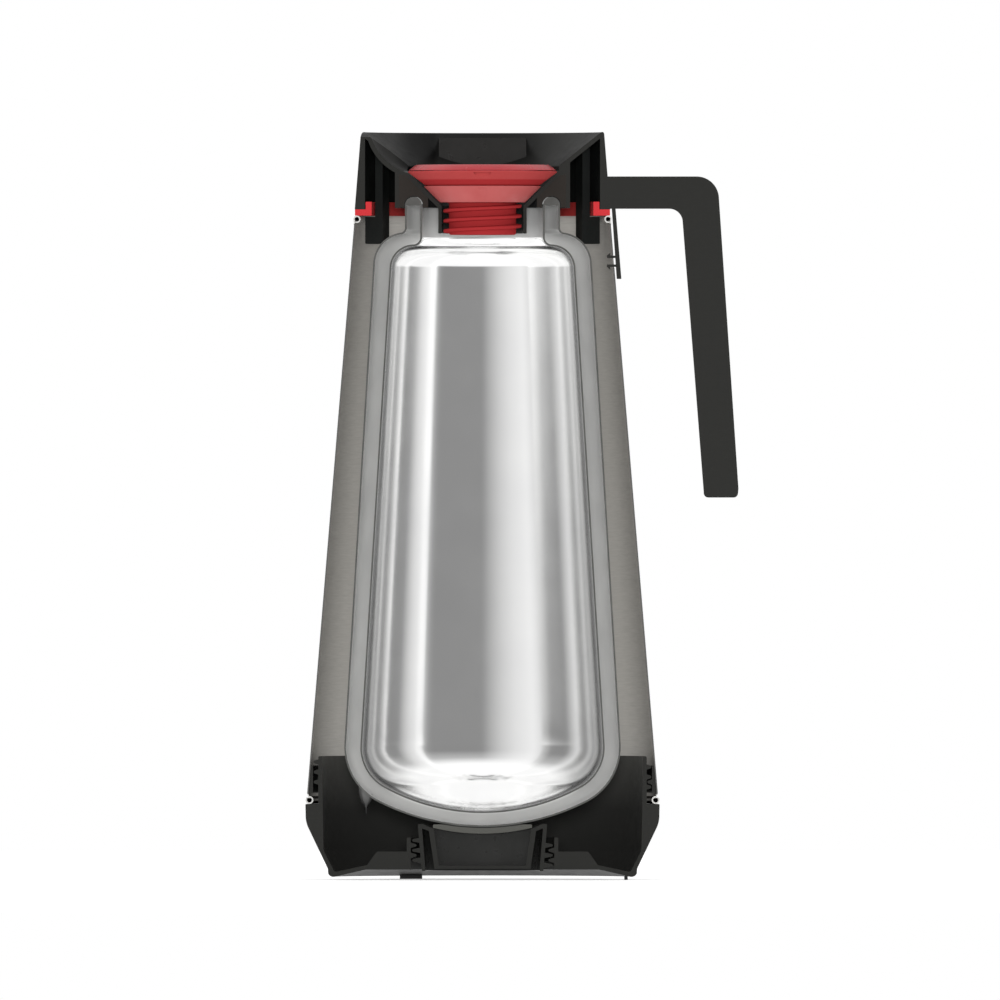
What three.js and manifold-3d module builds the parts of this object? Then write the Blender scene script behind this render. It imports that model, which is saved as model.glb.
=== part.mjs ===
// A thermal coffee jug, sawn in half down its middle so that its inside shows.
//
// Units are millimetres. Every piece is drawn round the jug's own axis (r outwards, z up, z = 0 on the
// surface that the feet stand on). The half with y >= 0 is kept, so the cut faces look along -Y. The spout
// is at -X and the handle at +X. Only the screw stopper with its lid and seal is left whole.

import * as THREE from 'three';
import { mergeVertices } from 'three/addons/utils/BufferGeometryUtils.js';
import Module from 'manifold-3d';

const wasm = await Module();
wasm.setup();

// ---- driving dimensions ---------------------------------------------------------------------------

const RIM_Z = 336.6; // top of the head
const CUT_SEGMENTS = 36; // sides of every round piece
const FIT_GAP = 0.3; // air between pieces that touch
const THREAD_CLEARANCE = 0.4; // air at a thread's crest and round the rim gasket
const ROOT_BITE = 0.3; // how far a ridge's root reaches into the wall it stands on
const PITCH = 4.5; // all three threads, right-hand
const TAPER = 0.0826; // how much the casing's radius grows for each millimetre down

// each thread's ridge: widths at its root and crest, the angle it starts at and how far it runs
const RING_THREAD = { rootWidth: 2.6, crestWidth: 1.1, startDeg: -170, turns: 0.94 };
const NECK_THREAD = { rootWidth: 2.6, crestWidth: 1.1, startDeg: 0, turns: 2.5 };
const BOSS_THREAD = { rootWidth: 2.6, crestWidth: 0.9, startDeg: -180, turns: 2.4 };
const CAP_THREAD = { rootWidth: 2.9, crestWidth: 0.9, startDeg: 0, turns: 3.0 };
const STOPPER_THREAD = { rootWidth: 2.1, crestWidth: 0.8, startDeg: -220, turns: 2.65 };
const SLEEVE_LUG = { rootWidth: 1.7, crestWidth: 0.9, startDeg: 50, turns: 80 / 360 };

// z of the middle of the three male ridges where their helix passes angle 0, the +X side
const BASE_THREAD_Z = 41.85;
const CAP_THREAD_Z = 6.6;
const STOPPER_THREAD_Z = 294.3;

const CASING = { topZ: 297.2, topR: 57.6, bottomZ: 38.4, sheet: 0.6, neckDrop: 4 };
const HEM = { inset: 1.45, radius: 1.25, fromDeg: -330, toDeg: -60 }; // the curl at the casing's mouth
const BEAD = { inset: 0.75, drop: 1.9, radius: 1.45, fromDeg: 75, toDeg: 325 }; // the roll at its foot
const THREAD_RING = { bottomZ: 39.2, topZ: 51.5, innerR: 76.3, crestR: 74.3 };

const BASE = { outerR: 79.7, ledgeZ: 34.2, topZ: 55.7, neckR: 73.9, innerR: 72.3, floorZ: 4.7, floor: 2 };
const BASE_SIDE = [[79.5, 28.7], [78.7, 24.6], [69.6, 5.1]]; // down the outside, ledge to foot ring
const FOOT_RING = { centreR: 67.1, innerR: 66.1, bottomZ: 1.4, round: 2.6, floorR: 52.4 };
const BASE_INSIDE = [[66.2, 3.6], [71.5, 13.0]]; // up the inside, floor to wall
const BOSS = { outerR: 34.1, innerR: 32.3, crestR: 29.7, topZ: 19.1 };
const RIB = { count: 6, thickness: 2.5, footR: 52.0, topR: 47.6, topZ: 12.8 };
const FOOT = { radius: 64.7, thick: 1.3, length: 11, height: 1.1, angles: [0, 120] };

const CAP = { rimR: 29.1, footR: 27.4, topZ: 25.2, bottomZ: 4.0, wall: 1.7, crestR: 31.6 };
const DISH = { lowZ: 20.5, radius: 94.7, edgeR: 22.7, plate: 2.0 };
const GRIP_BAR = { topHalf: [24.6, 8], bottomHalf: [21.6, 7.2], wall: 2.1, bottomZ: 5.0, floorZ: 6.4 };
const CUSHION = { edgeR: 22.3, lowZ: 23.4, rimZ: 25.0, lift: 0.35 };

const GLASS = 1.0; // wall of the flask's two bottles
const OUTER_BOTTLE = {
  bowl: { z: 127.9, radius: 104 },
  corner: { r: 34.2, radius: 28 },
  shoulder: { r: 34.6, z: 276.9, radius: 14.6 },
  neckR: 34.9,
  neckFillet: 2.0,
};
const INNER_BOTTLE = {
  bowl: { z: 121.9, radius: 91 },
  corner: { r: 34.2, radius: 20 },
  shoulder: { r: 31.0, z: 275.2, radius: 10.0 },
  neckR: 27.2,
  neckFillet: 4.0,
};
const FLASK_RIM_Z = 303.55; // where the flask's half-round rim springs from the two necks
const WALL_LEAN = 3.5; // degrees that the flask's sides lean in
const TIP_OFF = { r: 53.4, angle: 170 };
const TIP_OUTLINE = [[0, 29.6], [0.4, 30.0], [1.1, 33.4], [2.9, 36.5], [3.4, 40.0], [3.4, 44.0], [0, 44.0]];

const HEAD = { wallBottomZ: 301.8, wallInnerR: 52.9, skirtR: 37.6, skirtBottomZ: 302.4, skirt: 1.8 };
const UNDER = 2.5; // thickness of the funnel and the seat, measured straight down
const FUNNEL = { topR: 52.9, topZ: 336.2, bottomR: 35.0, bottomZ: 321.9 };
const SEAT = { topR: 34.4, rise: 284.9 }; // the 45 degree cone z = r + rise that the stopper sits in
const SLEEVE = { innerR: 18.4, outerR: 19.9, bottomZ: 290.9 };
const BACK_PANEL = { halfWidth: 19.7, y: 34.7, topZ: 334.3 };
const SPOUT = { troughR: 12.7, wall: 1.9, bendR: 27.45, bendZ: 340.8, bendRadius: 23.5, lipZ: 334.4 };
const LUG = { angles: [18, 90, 162], spread: 12, innerR: 46, outerR: 49.4, flareR: 54 };
const LUG_Z = { flare: 298.5, bottom: 286.3 };

const HANDLE = { rootX: 55.6, reach: 115.2, thick: 15.6, topZ: 316.6, armBottomZ: 302.1, endZ: 172.1 };
const HANDLE_BEND = { outerX: 96.4, outerR: 10, innerX: 84.1, innerR: 6, leanDeg: 4, endR: 2 };
const HANDLE_HALF_WIDTH = 12.5;
const CLIP = { topX: 58.1, bottomX: 60.4, thick: 1.7, bottomZ: 270.5, halfWidth: 8 };
const PRONG = { rootX: 60.9, neckX: 57.5, tipX: 56.0, halfWidth: 3 };
const PRONG_Z = [[279.9, 281.0, 282.3], [277.0, 275.9, 274.6]]; // near face, far face and barb of each
const CLIP_HOLE = { nearX: 50, farX: 70, halfWidth: 3.5, bottomZ: 275.5, topZ: 281.4 };

const SEAL_LEG = { innerR: 49.9, outerR: 52.6, topZ: 305.2 };
const SEAL_FLANGE = { outerR: 57.4, topZ: 301.5, bottomZ: 299.0 };
const RIM_GASKET = { outerR: 37.3, innerR: 24.5, topZ: 317.3, bottomZ: 302.6 };

const STOPPER = { flangeR: 33.5, flangeZ: 318.9, ledgeR: 26.9, ledgeZ: 312.3, coreR: 15.1, crestR: 17.6 };
const STOPPER_NECK = { topZ: 304.6, bottomZ: 290.3 };
const STOPPER_WELL = { topR: 13, bottomR: 11, ledgeR: 21.5, stepZ: 309.3, floorZ: 293.3 };
const STOPPER_GRIP = { halfLength: 24.5, halfWidth: 3, bottomZ: 310.3 };
const NOTCH = { topHalf: 4.1, bottomHalf: 2.4, topZ: 318.2, bottomZ: 315.9, deep: 2.4 };
const STOPPER_LID = { topR: 29.8, topZ: 321.8, wellR: 26.5 };
const STOPPER_SEAL = { outerR: 26.0, lowR: 19.2, thick: 1.8 };

// ---- helpers --------------------------------------------------------------------------------------

const rad = THREE.MathUtils.degToRad;

// points on a circle in the (r, z) plane
function arc(r, z, radius, fromDeg, toDeg, steps) {
  const points = [];
  for (let i = 0; i <= steps; i += 1) {
    const a = rad(fromDeg + ((toDeg - fromDeg) * i) / steps);
    points.push([r + radius * Math.cos(a), z + radius * Math.sin(a)]);
  }
  return points;
}

function solidOf(geometry) {
  geometry.deleteAttribute('normal');
  geometry.deleteAttribute('uv');
  const merged = mergeVertices(geometry, 1e-4);
  return new wasm.Manifold(
    new wasm.Mesh({
      numProp: 3,
      vertProperties: new Float32Array(merged.attributes.position.array),
      triVerts: new Uint32Array(merged.index.array),
    }),
  );
}

function geometryOf(solid) {
  const mesh = solid.getMesh();
  const geometry = new THREE.BufferGeometry();
  geometry.setAttribute('position', new THREE.BufferAttribute(new Float32Array(mesh.vertProperties), 3));
  geometry.setIndex(new THREE.BufferAttribute(new Uint32Array(mesh.triVerts), 1));
  geometry.computeVertexNormals();
  return geometry;
}

// turns an outline of [r, z] points about the jug's axis; one that doesn't start on the axis is closed
function revolve(outline, segments = CUT_SEGMENTS) {
  const points = outline.map(([r, z]) => new THREE.Vector2(r, z));
  if (outline[0][0] > 0) points.push(points[0].clone());
  if (THREE.ShapeUtils.area(points) < 0) points.reverse();
  const geometry = new THREE.LatheGeometry(points, segments);
  return solidOf(geometry.rotateX(Math.PI / 2));
}

function box(x0, x1, y0, y1, z0, z1) {
  const geometry = new THREE.BoxGeometry(x1 - x0, y1 - y0, z1 - z0);
  return solidOf(geometry.translate((x0 + x1) / 2, (y0 + y1) / 2, (z0 + z1) / 2));
}

// a box whose half sizes change from its top to its bottom
function taperedBox(topHalf, bottomHalf, bottomZ, topZ) {
  const geometry = new THREE.BoxGeometry(2, 2, topZ - bottomZ);
  geometry.translate(0, 0, (topZ + bottomZ) / 2);
  const position = geometry.attributes.position;
  for (let i = 0; i < position.count; i += 1) {
    const half = position.getZ(i) > (topZ + bottomZ) / 2 ? topHalf : bottomHalf;
    position.setXY(i, position.getX(i) * half[0], position.getY(i) * half[1]);
  }
  return solidOf(geometry);
}

// a plate with an (x, z) outline, from y0 to y1
function plate(outline, y0, y1) {
  const shape = new THREE.Shape(outline.map(([x, z]) => new THREE.Vector2(x, z)));
  const geometry = new THREE.ExtrudeGeometry(shape, { depth: y1 - y0, bevelEnabled: false, steps: 1 });
  return solidOf(geometry.rotateX(Math.PI / 2).translate(0, y1, 0));
}

// a pie slice of space, centred on an angle
function wedge(centreDeg, spreadDeg) {
  const far = 2 * BASE.outerR;
  const corners = [centreDeg - spreadDeg / 2, centreDeg + spreadDeg / 2].map(
    (a) => new THREE.Vector2(far * Math.cos(rad(a)), far * Math.sin(rad(a))),
  );
  const shape = new THREE.Shape([new THREE.Vector2(0, 0), ...corners]);
  return solidOf(new THREE.ExtrudeGeometry(shape, { depth: RIM_Z, bevelEnabled: false, steps: 1 }));
}

const KEPT_HALF = box(-HANDLE.reach - 1, HANDLE.reach + 1, 0, BASE.outerR + 1, -1, RIM_Z + 1);

const half = (solid) => solid.intersect(KEPT_HALF);

// both sides of a thin sheet that follows a path of [r, z] points
function sheetOutline(path, thickness) {
  const sides = [[], []];
  path.forEach((point, i) => {
    const before = path[Math.max(i - 1, 0)];
    const after = path[Math.min(i + 1, path.length - 1)];
    const a = new THREE.Vector2(point[0] - before[0], point[1] - before[1]).normalize();
    const b = new THREE.Vector2(after[0] - point[0], after[1] - point[1]).normalize();
    const along = a.add(b).normalize();
    sides[0].push([point[0] - (along.y * thickness) / 2, point[1] + (along.x * thickness) / 2]);
    sides[1].unshift([point[0] + (along.y * thickness) / 2, point[1] - (along.x * thickness) / 2]);
  });
  return [...sides[0], ...sides[1]];
}

// a screw thread: a trapezoid carried up a helix whose middle passes angle 0 at zAtZero
function thread({ rootWidth, crestWidth, startDeg, turns }, rootR, crestR, zAtZero) {
  const step = 360 / CUT_SEGMENTS;
  const count = Math.round((turns * 360) / step);
  const positions = [];
  for (let i = 0; i <= count; i += 1) {
    const angle = startDeg + i * step;
    const a = rad(angle);
    const z = zAtZero + (PITCH * angle) / 360;
    const section = [
      [rootR, z - rootWidth / 2],
      [crestR, z - crestWidth / 2],
      [crestR, z + crestWidth / 2],
      [rootR, z + rootWidth / 2],
    ];
    section.forEach(([r, height]) => positions.push(r * Math.cos(a), r * Math.sin(a), height));
  }
  const outward = crestR > rootR;
  const index = [];
  const face = (a, b, c) => (outward ? index.push(a, b, c) : index.push(a, c, b));
  const quad = (a, b, c, d) => {
    face(a, b, c);
    face(a, c, d);
  };
  quad(0, 1, 2, 3);
  for (let i = 0; i < count; i += 1) {
    for (let k = 0; k < 4; k += 1) {
      const near = 4 * i + k;
      const next = 4 * i + ((k + 1) % 4);
      quad(near, near + 4, next + 4, next);
    }
  }
  quad(4 * count + 3, 4 * count + 2, 4 * count + 1, 4 * count);
  const geometry = new THREE.BufferGeometry();
  geometry.setAttribute('position', new THREE.Float32BufferAttribute(positions, 3));
  geometry.setIndex(index);
  return solidOf(geometry);
}

const group = new THREE.Group();
group.position.set((BASE.outerR - HANDLE.reach) / 2, (STOPPER.flangeR - BASE.outerR) / 2, 0);

function addPart(name, solid, colour, roughness, metalness) {
  const material = new THREE.MeshStandardMaterial({ color: colour, roughness, metalness });
  const mesh = new THREE.Mesh(geometryOf(solid), material);
  mesh.name = name;
  group.add(mesh);
}

const BLACK_PLASTIC = ['#333331', 0.45, 0];
const BLACK_RUBBER = ['#1c1c1b', 0.8, 0];
const RED_RUBBER = ['#d63d3f', 0.5, 0];
const RED_PLASTIC = ['#b8363c', 0.3, 0];

// ---- casing ---------------------------------------------------------------------------------------

// the brushed steel cone, with its top edge curled inwards into a hem and a rolled bead at its foot
function casing() {
  const wallR = (z) => CASING.topR - CASING.sheet / 2 + (CASING.topZ - z) * TAPER;
  const hemR = wallR(CASING.topZ) - HEM.inset;
  const beadR = wallR(CASING.bottomZ) - BEAD.inset;
  const neckZ = CASING.topZ - CASING.neckDrop;
  const path = [
    ...arc(hemR, CASING.topZ, HEM.radius, HEM.fromDeg, HEM.toDeg, 8),
    [wallR(neckZ), neckZ],
    [wallR(CASING.bottomZ), CASING.bottomZ],
    ...arc(beadR, CASING.bottomZ - BEAD.drop, BEAD.radius, BEAD.fromDeg, BEAD.toDeg, 7),
  ];
  const { nearX, farX, halfWidth, bottomZ, topZ } = CLIP_HOLE;
  const hole = box(nearX, farX, -halfWidth, halfWidth, bottomZ, topZ);
  return half(revolve(sheetOutline(path, CASING.sheet)).subtract(hole));
}

// the plastic ring bonded inside the casing's foot, which the base screws into
function casingThreadRing() {
  const outerR = (z) => CASING.topR + (CASING.topZ - z) * TAPER - CASING.sheet - FIT_GAP;
  const ring = revolve([
    [THREAD_RING.innerR, THREAD_RING.bottomZ],
    [outerR(THREAD_RING.bottomZ), THREAD_RING.bottomZ],
    [outerR(THREAD_RING.topZ), THREAD_RING.topZ],
    [THREAD_RING.innerR, THREAD_RING.topZ],
  ]);
  const rootR = THREAD_RING.innerR + ROOT_BITE;
  return half(ring.add(thread(RING_THREAD, rootR, THREAD_RING.crestR, BASE_THREAD_Z + PITCH / 2)));
}

// ---- base and what screws into it -------------------------------------------------------------------

// a bowl with a threaded neck for the casing, a threaded boss for the support cap and ribs on its floor
function base() {
  const bowl = revolve([
    [BASE.innerR, BASE.topZ],
    [BASE.neckR - 0.5, BASE.topZ],
    [BASE.neckR, BASE.topZ - 0.6],
    [BASE.neckR, BASE.ledgeZ],
    [BASE.outerR, BASE.ledgeZ],
    ...BASE_SIDE,
    ...arc(FOOT_RING.centreR, FOOT_RING.bottomZ + FOOT_RING.round, FOOT_RING.round, -25, -90, 3),
    [FOOT_RING.innerR, FOOT_RING.bottomZ + 0.1],
    [FOOT_RING.floorR, BASE.floorZ],
    [BOSS.innerR, BASE.floorZ],
    [BOSS.innerR, BOSS.topZ],
    [BOSS.outerR, BOSS.topZ],
    [BOSS.outerR, BASE.floorZ + BASE.floor],
    [RIB.footR, BASE.floorZ + BASE.floor],
    ...BASE_INSIDE,
  ]);
  const crestR = THREAD_RING.innerR - THREAD_CLEARANCE;
  const neckThread = thread(NECK_THREAD, BASE.neckR - ROOT_BITE, crestR, BASE_THREAD_Z);
  const bossThread = thread(BOSS_THREAD, BOSS.innerR + ROOT_BITE, BOSS.crestR, CAP_THREAD_Z + PITCH / 2);
  let solid = bowl.add(neckThread).add(bossThread);
  const ribOutline = [
    [BOSS.outerR - BASE.floor / 4, BASE.floorZ + BASE.floor / 2],
    [RIB.footR, BASE.floorZ + BASE.floor / 2],
    [RIB.footR, BASE.floorZ + BASE.floor],
    [RIB.topR, RIB.topZ],
    [BOSS.outerR - BASE.floor / 4, RIB.topZ],
  ];
  for (let i = 0; i < RIB.count; i += 1) {
    const rib = plate(ribOutline, -RIB.thickness / 2, RIB.thickness / 2);
    solid = solid.add(rib.rotate([0, 0, (360 * i) / RIB.count]));
  }
  return half(solid);
}

// a short curved rubber strip under the base's foot ring
function foot(angle) {
  const inner = FOOT.radius - FOOT.thick / 2;
  const outer = FOOT.radius + FOOT.thick / 2;
  const strip = revolve([
    [inner, 0],
    [outer, 0],
    [outer, FOOT.height],
    [inner, FOOT.height],
  ]);
  const spread = THREE.MathUtils.radToDeg(FOOT.length / FOOT.radius);
  return half(strip.intersect(wedge(angle, spread)));
}

function dishZ(r) {
  return DISH.lowZ + DISH.radius - Math.sqrt(DISH.radius ** 2 - r ** 2);
}

// the dish from its edge in to the axis
function dishOutline() {
  const steps = 4;
  const points = [];
  for (let i = 0; i <= steps; i += 1) {
    const r = DISH.edgeR * (1 - i / steps);
    points.push([r, dishZ(r)]);
  }
  return points;
}

// the screw plug that carries the flask: a dished top, a threaded skirt and a hollow grip bar below
function supportCap() {
  const underR = CAP.rimR - CAP.wall;
  const shell = revolve([
    [0, DISH.lowZ - DISH.plate],
    [DISH.edgeR - 0.5, dishZ(DISH.edgeR) - DISH.plate],
    [underR - 0.2, CAP.topZ - DISH.plate],
    [CAP.footR - CAP.wall, CAP.bottomZ],
    [CAP.footR, CAP.bottomZ],
    [CAP.rimR, CAP.topZ],
    [underR - 0.1, CAP.topZ],
    ...dishOutline(),
  ]);
  const underDish = revolve([[0, 0], [underR, 0], [underR, CAP.topZ - 0.4], ...dishOutline()]);
  const { topHalf, bottomHalf, wall, bottomZ, floorZ } = GRIP_BAR;
  const inner = (halves) => halves.map((size) => size - wall);
  const outside = taperedBox(topHalf, bottomHalf, bottomZ, CAP.topZ);
  const inside = taperedBox(inner(topHalf), inner(bottomHalf), floorZ, CAP.topZ + 2);
  const ridge = thread(CAP_THREAD, CAP.footR - 2 * ROOT_BITE, CAP.crestR, CAP_THREAD_Z);
  return half(shell.add(outside.intersect(underDish)).subtract(inside).add(ridge));
}

// the soft pad between the flask and the plug's dish
function flaskCushion() {
  const top = (r) => Math.min(CUSHION.lowZ + r ** 2 / (2 * OUTER_BOTTLE.bowl.radius), CUSHION.rimZ);
  const { edgeR, lift } = CUSHION;
  return half(
    revolve([
      [0, dishZ(0) + lift],
      [edgeR / 2, dishZ(edgeR / 2) + lift],
      [edgeR, dishZ(edgeR) + lift],
      [edgeR, top(edgeR) - 0.4],
      [edgeR - 0.5, top(edgeR)],
      [edgeR * 0.8, top(edgeR * 0.8)],
      [edgeR * 0.4, top(edgeR * 0.4)],
      [0, top(0)],
    ]),
  );
}

// ---- vacuum flask -----------------------------------------------------------------------------------

// one face of a bottle from the axis at its bottom to the top of its neck; grow moves the face outwards
function bottleOutline(bottle, grow) {
  const { bowl, corner, shoulder, neckR, neckFillet } = bottle;
  const reach = bowl.radius - corner.radius;
  const cornerZ = bowl.z - Math.sqrt(reach ** 2 - corner.r ** 2);
  const meet = THREE.MathUtils.radToDeg(Math.atan2(cornerZ - bowl.z, corner.r));
  const filletR = neckR + neckFillet;
  const span = shoulder.radius + neckFillet;
  const filletZ = shoulder.z + Math.sqrt(span ** 2 - (filletR - shoulder.r) ** 2);
  const lean = THREE.MathUtils.radToDeg(Math.atan2(filletZ - shoulder.z, filletR - shoulder.r));
  return [
    ...arc(0, bowl.z, bowl.radius + grow, -90, meet, 4),
    ...arc(corner.r, cornerZ, corner.radius + grow, meet, WALL_LEAN, 5).slice(1),
    ...arc(shoulder.r, shoulder.z, shoulder.radius + grow, WALL_LEAN, lean, 5),
    ...arc(filletR, filletZ, neckFillet - grow, lean + 180, 180, 2).slice(1),
    [neckR + grow, FLASK_RIM_Z],
  ];
}

// two glass bottles, one in the other, fused at a half-round rim, with the sealed tip of the pumping tube
function vacuumFlask() {
  const rimR = (OUTER_BOTTLE.neckR + INNER_BOTTLE.neckR) / 2;
  const rimRound = (OUTER_BOTTLE.neckR - INNER_BOTTLE.neckR) / 2;
  const skin = [
    ...bottleOutline(OUTER_BOTTLE, 0),
    ...arc(rimR, FLASK_RIM_Z, rimRound, 0, 180, 6).slice(1, -1),
    ...bottleOutline(INNER_BOTTLE, 0).reverse(),
  ];
  const vacuum = [
    ...bottleOutline(OUTER_BOTTLE, -GLASS),
    ...arc(rimR, FLASK_RIM_Z, rimRound - GLASS, 0, 180, 6).slice(1, -1),
    ...bottleOutline(INNER_BOTTLE, GLASS).reverse(),
  ];
  const side = rad(TIP_OFF.angle);
  const tip = revolve(TIP_OUTLINE, 16).translate([TIP_OFF.r * Math.cos(side), TIP_OFF.r * Math.sin(side), 0]);
  return half(revolve(skin).add(tip).subtract(revolve(vacuum)));
}

// ---- head with funnel, spout, handle and clip -------------------------------------------------------

const seatZ = (r) => r + SEAT.rise;
const funnelSlope = (FUNNEL.topZ - FUNNEL.bottomZ) / (FUNNEL.topR - FUNNEL.bottomR);
const funnelZ = (r) => FUNNEL.topZ - (FUNNEL.topR - r) * funnelSlope;

// the turned parts of the head: wall, funnel, the stopper's seat and sleeve, and the gasket's skirt
function headShell() {
  const outerR = (z) => CASING.topR + (HEAD.wallBottomZ - z) * TAPER;
  const skirtOuterR = HEAD.skirtR + HEAD.skirt;
  return revolve([
    [outerR(HEAD.wallBottomZ) - 0.1, HEAD.wallBottomZ],
    [outerR(RIM_Z - 0.6), RIM_Z - 0.6],
    [outerR(RIM_Z) - 0.6, RIM_Z],
    [FUNNEL.topR + 0.5, RIM_Z],
    [FUNNEL.topR, FUNNEL.topZ],
    [FUNNEL.bottomR, FUNNEL.bottomZ],
    [SEAT.topR, FUNNEL.bottomZ - 0.7],
    [SEAT.topR, seatZ(SEAT.topR)],
    [SLEEVE.innerR, seatZ(SLEEVE.innerR)],
    [SLEEVE.innerR, SLEEVE.bottomZ],
    [SLEEVE.outerR, SLEEVE.bottomZ],
    [SLEEVE.outerR, seatZ(SLEEVE.outerR) - UNDER],
    [SEAT.topR + 0.2, seatZ(SEAT.topR + 0.2) - UNDER],
    [HEAD.skirtR, RIM_GASKET.topZ + FIT_GAP],
    [HEAD.skirtR, HEAD.skirtBottomZ],
    [skirtOuterR, HEAD.skirtBottomZ],
    [skirtOuterR, funnelZ(skirtOuterR) - UNDER],
    [HEAD.wallInnerR, funnelZ(HEAD.wallInnerR) - UNDER],
    [HEAD.wallInnerR, HEAD.wallBottomZ],
  ]);
}

// a round bar along the pouring trough, which bends from the lip down to the stopper's seat
function troughBar(radius) {
  const bend = new THREE.CatmullRomCurve3(
    arc(SPOUT.bendR, SPOUT.bendZ, SPOUT.bendRadius - SPOUT.troughR, -10, -95, 8).map(
      ([r, z]) => new THREE.Vector3(-r, 0, z),
    ),
  );
  const circle = new THREE.Shape().absarc(0, 0, radius, 0, 2 * Math.PI);
  const along = { steps: 10, curveSegments: 14, bevelEnabled: false, extrudePath: bend };
  return solidOf(new THREE.ExtrudeGeometry(circle, along));
}

// the notch that the trough leaves by, level over the rim
function lipBar() {
  const length = 24;
  const bar = new THREE.CylinderGeometry(SPOUT.troughR, SPOUT.troughR, length, 28);
  bar.rotateZ(Math.PI / 2).translate(-FUNNEL.topR - length / 2 + 4, 0, SPOUT.lipZ + SPOUT.troughR);
  return solidOf(bar);
}

// a guide hanging inside the casing's mouth, flared under the seal ring
function lug(angle) {
  const profile = revolve([
    [LUG.innerR, funnelZ(LUG.innerR) - UNDER / 2],
    [LUG.innerR, LUG_Z.bottom + 2],
    [LUG.innerR + 0.6, LUG_Z.bottom + 0.6],
    [LUG.innerR + 2, LUG_Z.bottom],
    [LUG.flareR, LUG_Z.bottom],
    [LUG.flareR, LUG_Z.flare],
    [LUG.outerR, LUG_Z.flare],
    [LUG.outerR, funnelZ(LUG.outerR) - UNDER / 2],
  ]);
  return profile.intersect(wedge(angle, LUG.spread));
}

function handleOutline() {
  const { rootX, reach, thick, topZ, armBottomZ, endZ } = HANDLE;
  const { outerX, outerR, innerX, innerR, leanDeg, endR } = HANDLE_BEND;
  return [
    [rootX, topZ],
    ...arc(outerX, topZ - outerR, outerR, 90, leanDeg, 5),
    [reach, endZ + 2 * endR],
    ...arc(reach - endR - 0.2, endZ + endR, endR, -leanDeg, -90, 2),
    ...arc(reach - thick + endR, endZ + endR, endR, -90, -180 - leanDeg, 2),
    ...arc(innerX, armBottomZ - innerR, innerR, leanDeg, 90, 4),
    [rootX, armBottomZ],
  ];
}

// the tab that hangs from the handle's root and snaps into the casing with two barbed prongs
function clip() {
  const rootZ = HANDLE.armBottomZ + 1;
  const tabOutline = [
    [CLIP.topX, rootZ],
    [CLIP.topX + CLIP.thick, rootZ],
    [CLIP.bottomX + CLIP.thick + 0.4, CLIP.bottomZ],
    [CLIP.bottomX, CLIP.bottomZ],
  ];
  let solid = plate(tabOutline, -CLIP.halfWidth, CLIP.halfWidth);
  PRONG_Z.forEach(([nearZ, farZ, barbZ]) => {
    const outline = [
      [PRONG.rootX, nearZ],
      [PRONG.rootX, farZ],
      [PRONG.neckX, farZ],
      [PRONG.neckX, barbZ],
      [PRONG.tipX, farZ],
      [PRONG.tipX, nearZ],
    ];
    solid = solid.add(plate(outline, -PRONG.halfWidth, PRONG.halfWidth));
  });
  return solid;
}

// one moulding: the shell, the flat back panel, the spout, the guides, the sleeve's lug, handle and clip
function head() {
  const skirtOuterR = HEAD.skirtR + HEAD.skirt;
  const troughBottomZ = SPOUT.bendZ - SPOUT.bendRadius - 2 * SPOUT.wall;
  const underFunnel = revolve([
    [SEAT.topR + 0.1, RIM_GASKET.topZ + THREAD_CLEARANCE],
    [skirtOuterR, RIM_GASKET.topZ + THREAD_CLEARANCE],
    [skirtOuterR, troughBottomZ],
    [HEAD.wallInnerR + 1, troughBottomZ],
    [HEAD.wallInnerR + 1, RIM_Z - 0.2],
    [FUNNEL.topR, FUNNEL.topZ],
    [FUNNEL.bottomR, FUNNEL.bottomZ],
    [SEAT.topR + 0.1, FUNNEL.bottomZ - 0.7],
  ]);
  const panelRoom = revolve([
    [SEAT.topR, FUNNEL.bottomZ - 3],
    [HEAD.wallInnerR + 1, funnelZ(HEAD.wallInnerR + 1) - 2],
    [HEAD.wallInnerR + 1, RIM_Z],
    [SEAT.topR, RIM_Z],
  ]);
  const { halfWidth, y, topZ } = BACK_PANEL;
  const panel = box(-halfWidth, halfWidth, y, CASING.topR, FUNNEL.bottomZ - 5, topZ);
  let solid = headShell().add(panel.intersect(panelRoom));
  solid = solid.add(troughBar(SPOUT.troughR + SPOUT.wall).intersect(underFunnel));
  solid = solid.subtract(troughBar(SPOUT.troughR)).subtract(lipBar());
  LUG.angles.forEach((angle) => {
    solid = solid.add(lug(angle));
  });
  const lugRootR = SLEEVE.innerR + ROOT_BITE;
  const sleeveLug = thread(SLEEVE_LUG, lugRootR, STOPPER.coreR + 1.1, STOPPER_THREAD_Z + PITCH / 2);
  const handle = plate(handleOutline(), -HANDLE_HALF_WIDTH, HANDLE_HALF_WIDTH);
  return half(solid.add(sleeveLug).add(handle).add(clip()));
}

// the red ring between the head's wall and the casing's hem
function headSealRing() {
  return half(
    revolve([
      [SEAL_LEG.innerR, SEAL_FLANGE.bottomZ],
      [SEAL_FLANGE.outerR, SEAL_FLANGE.bottomZ],
      [SEAL_FLANGE.outerR, SEAL_FLANGE.topZ],
      [SEAL_LEG.outerR, SEAL_FLANGE.topZ],
      [SEAL_LEG.outerR, SEAL_LEG.topZ],
      [SEAL_LEG.innerR, SEAL_LEG.topZ],
    ]),
  );
}

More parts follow.
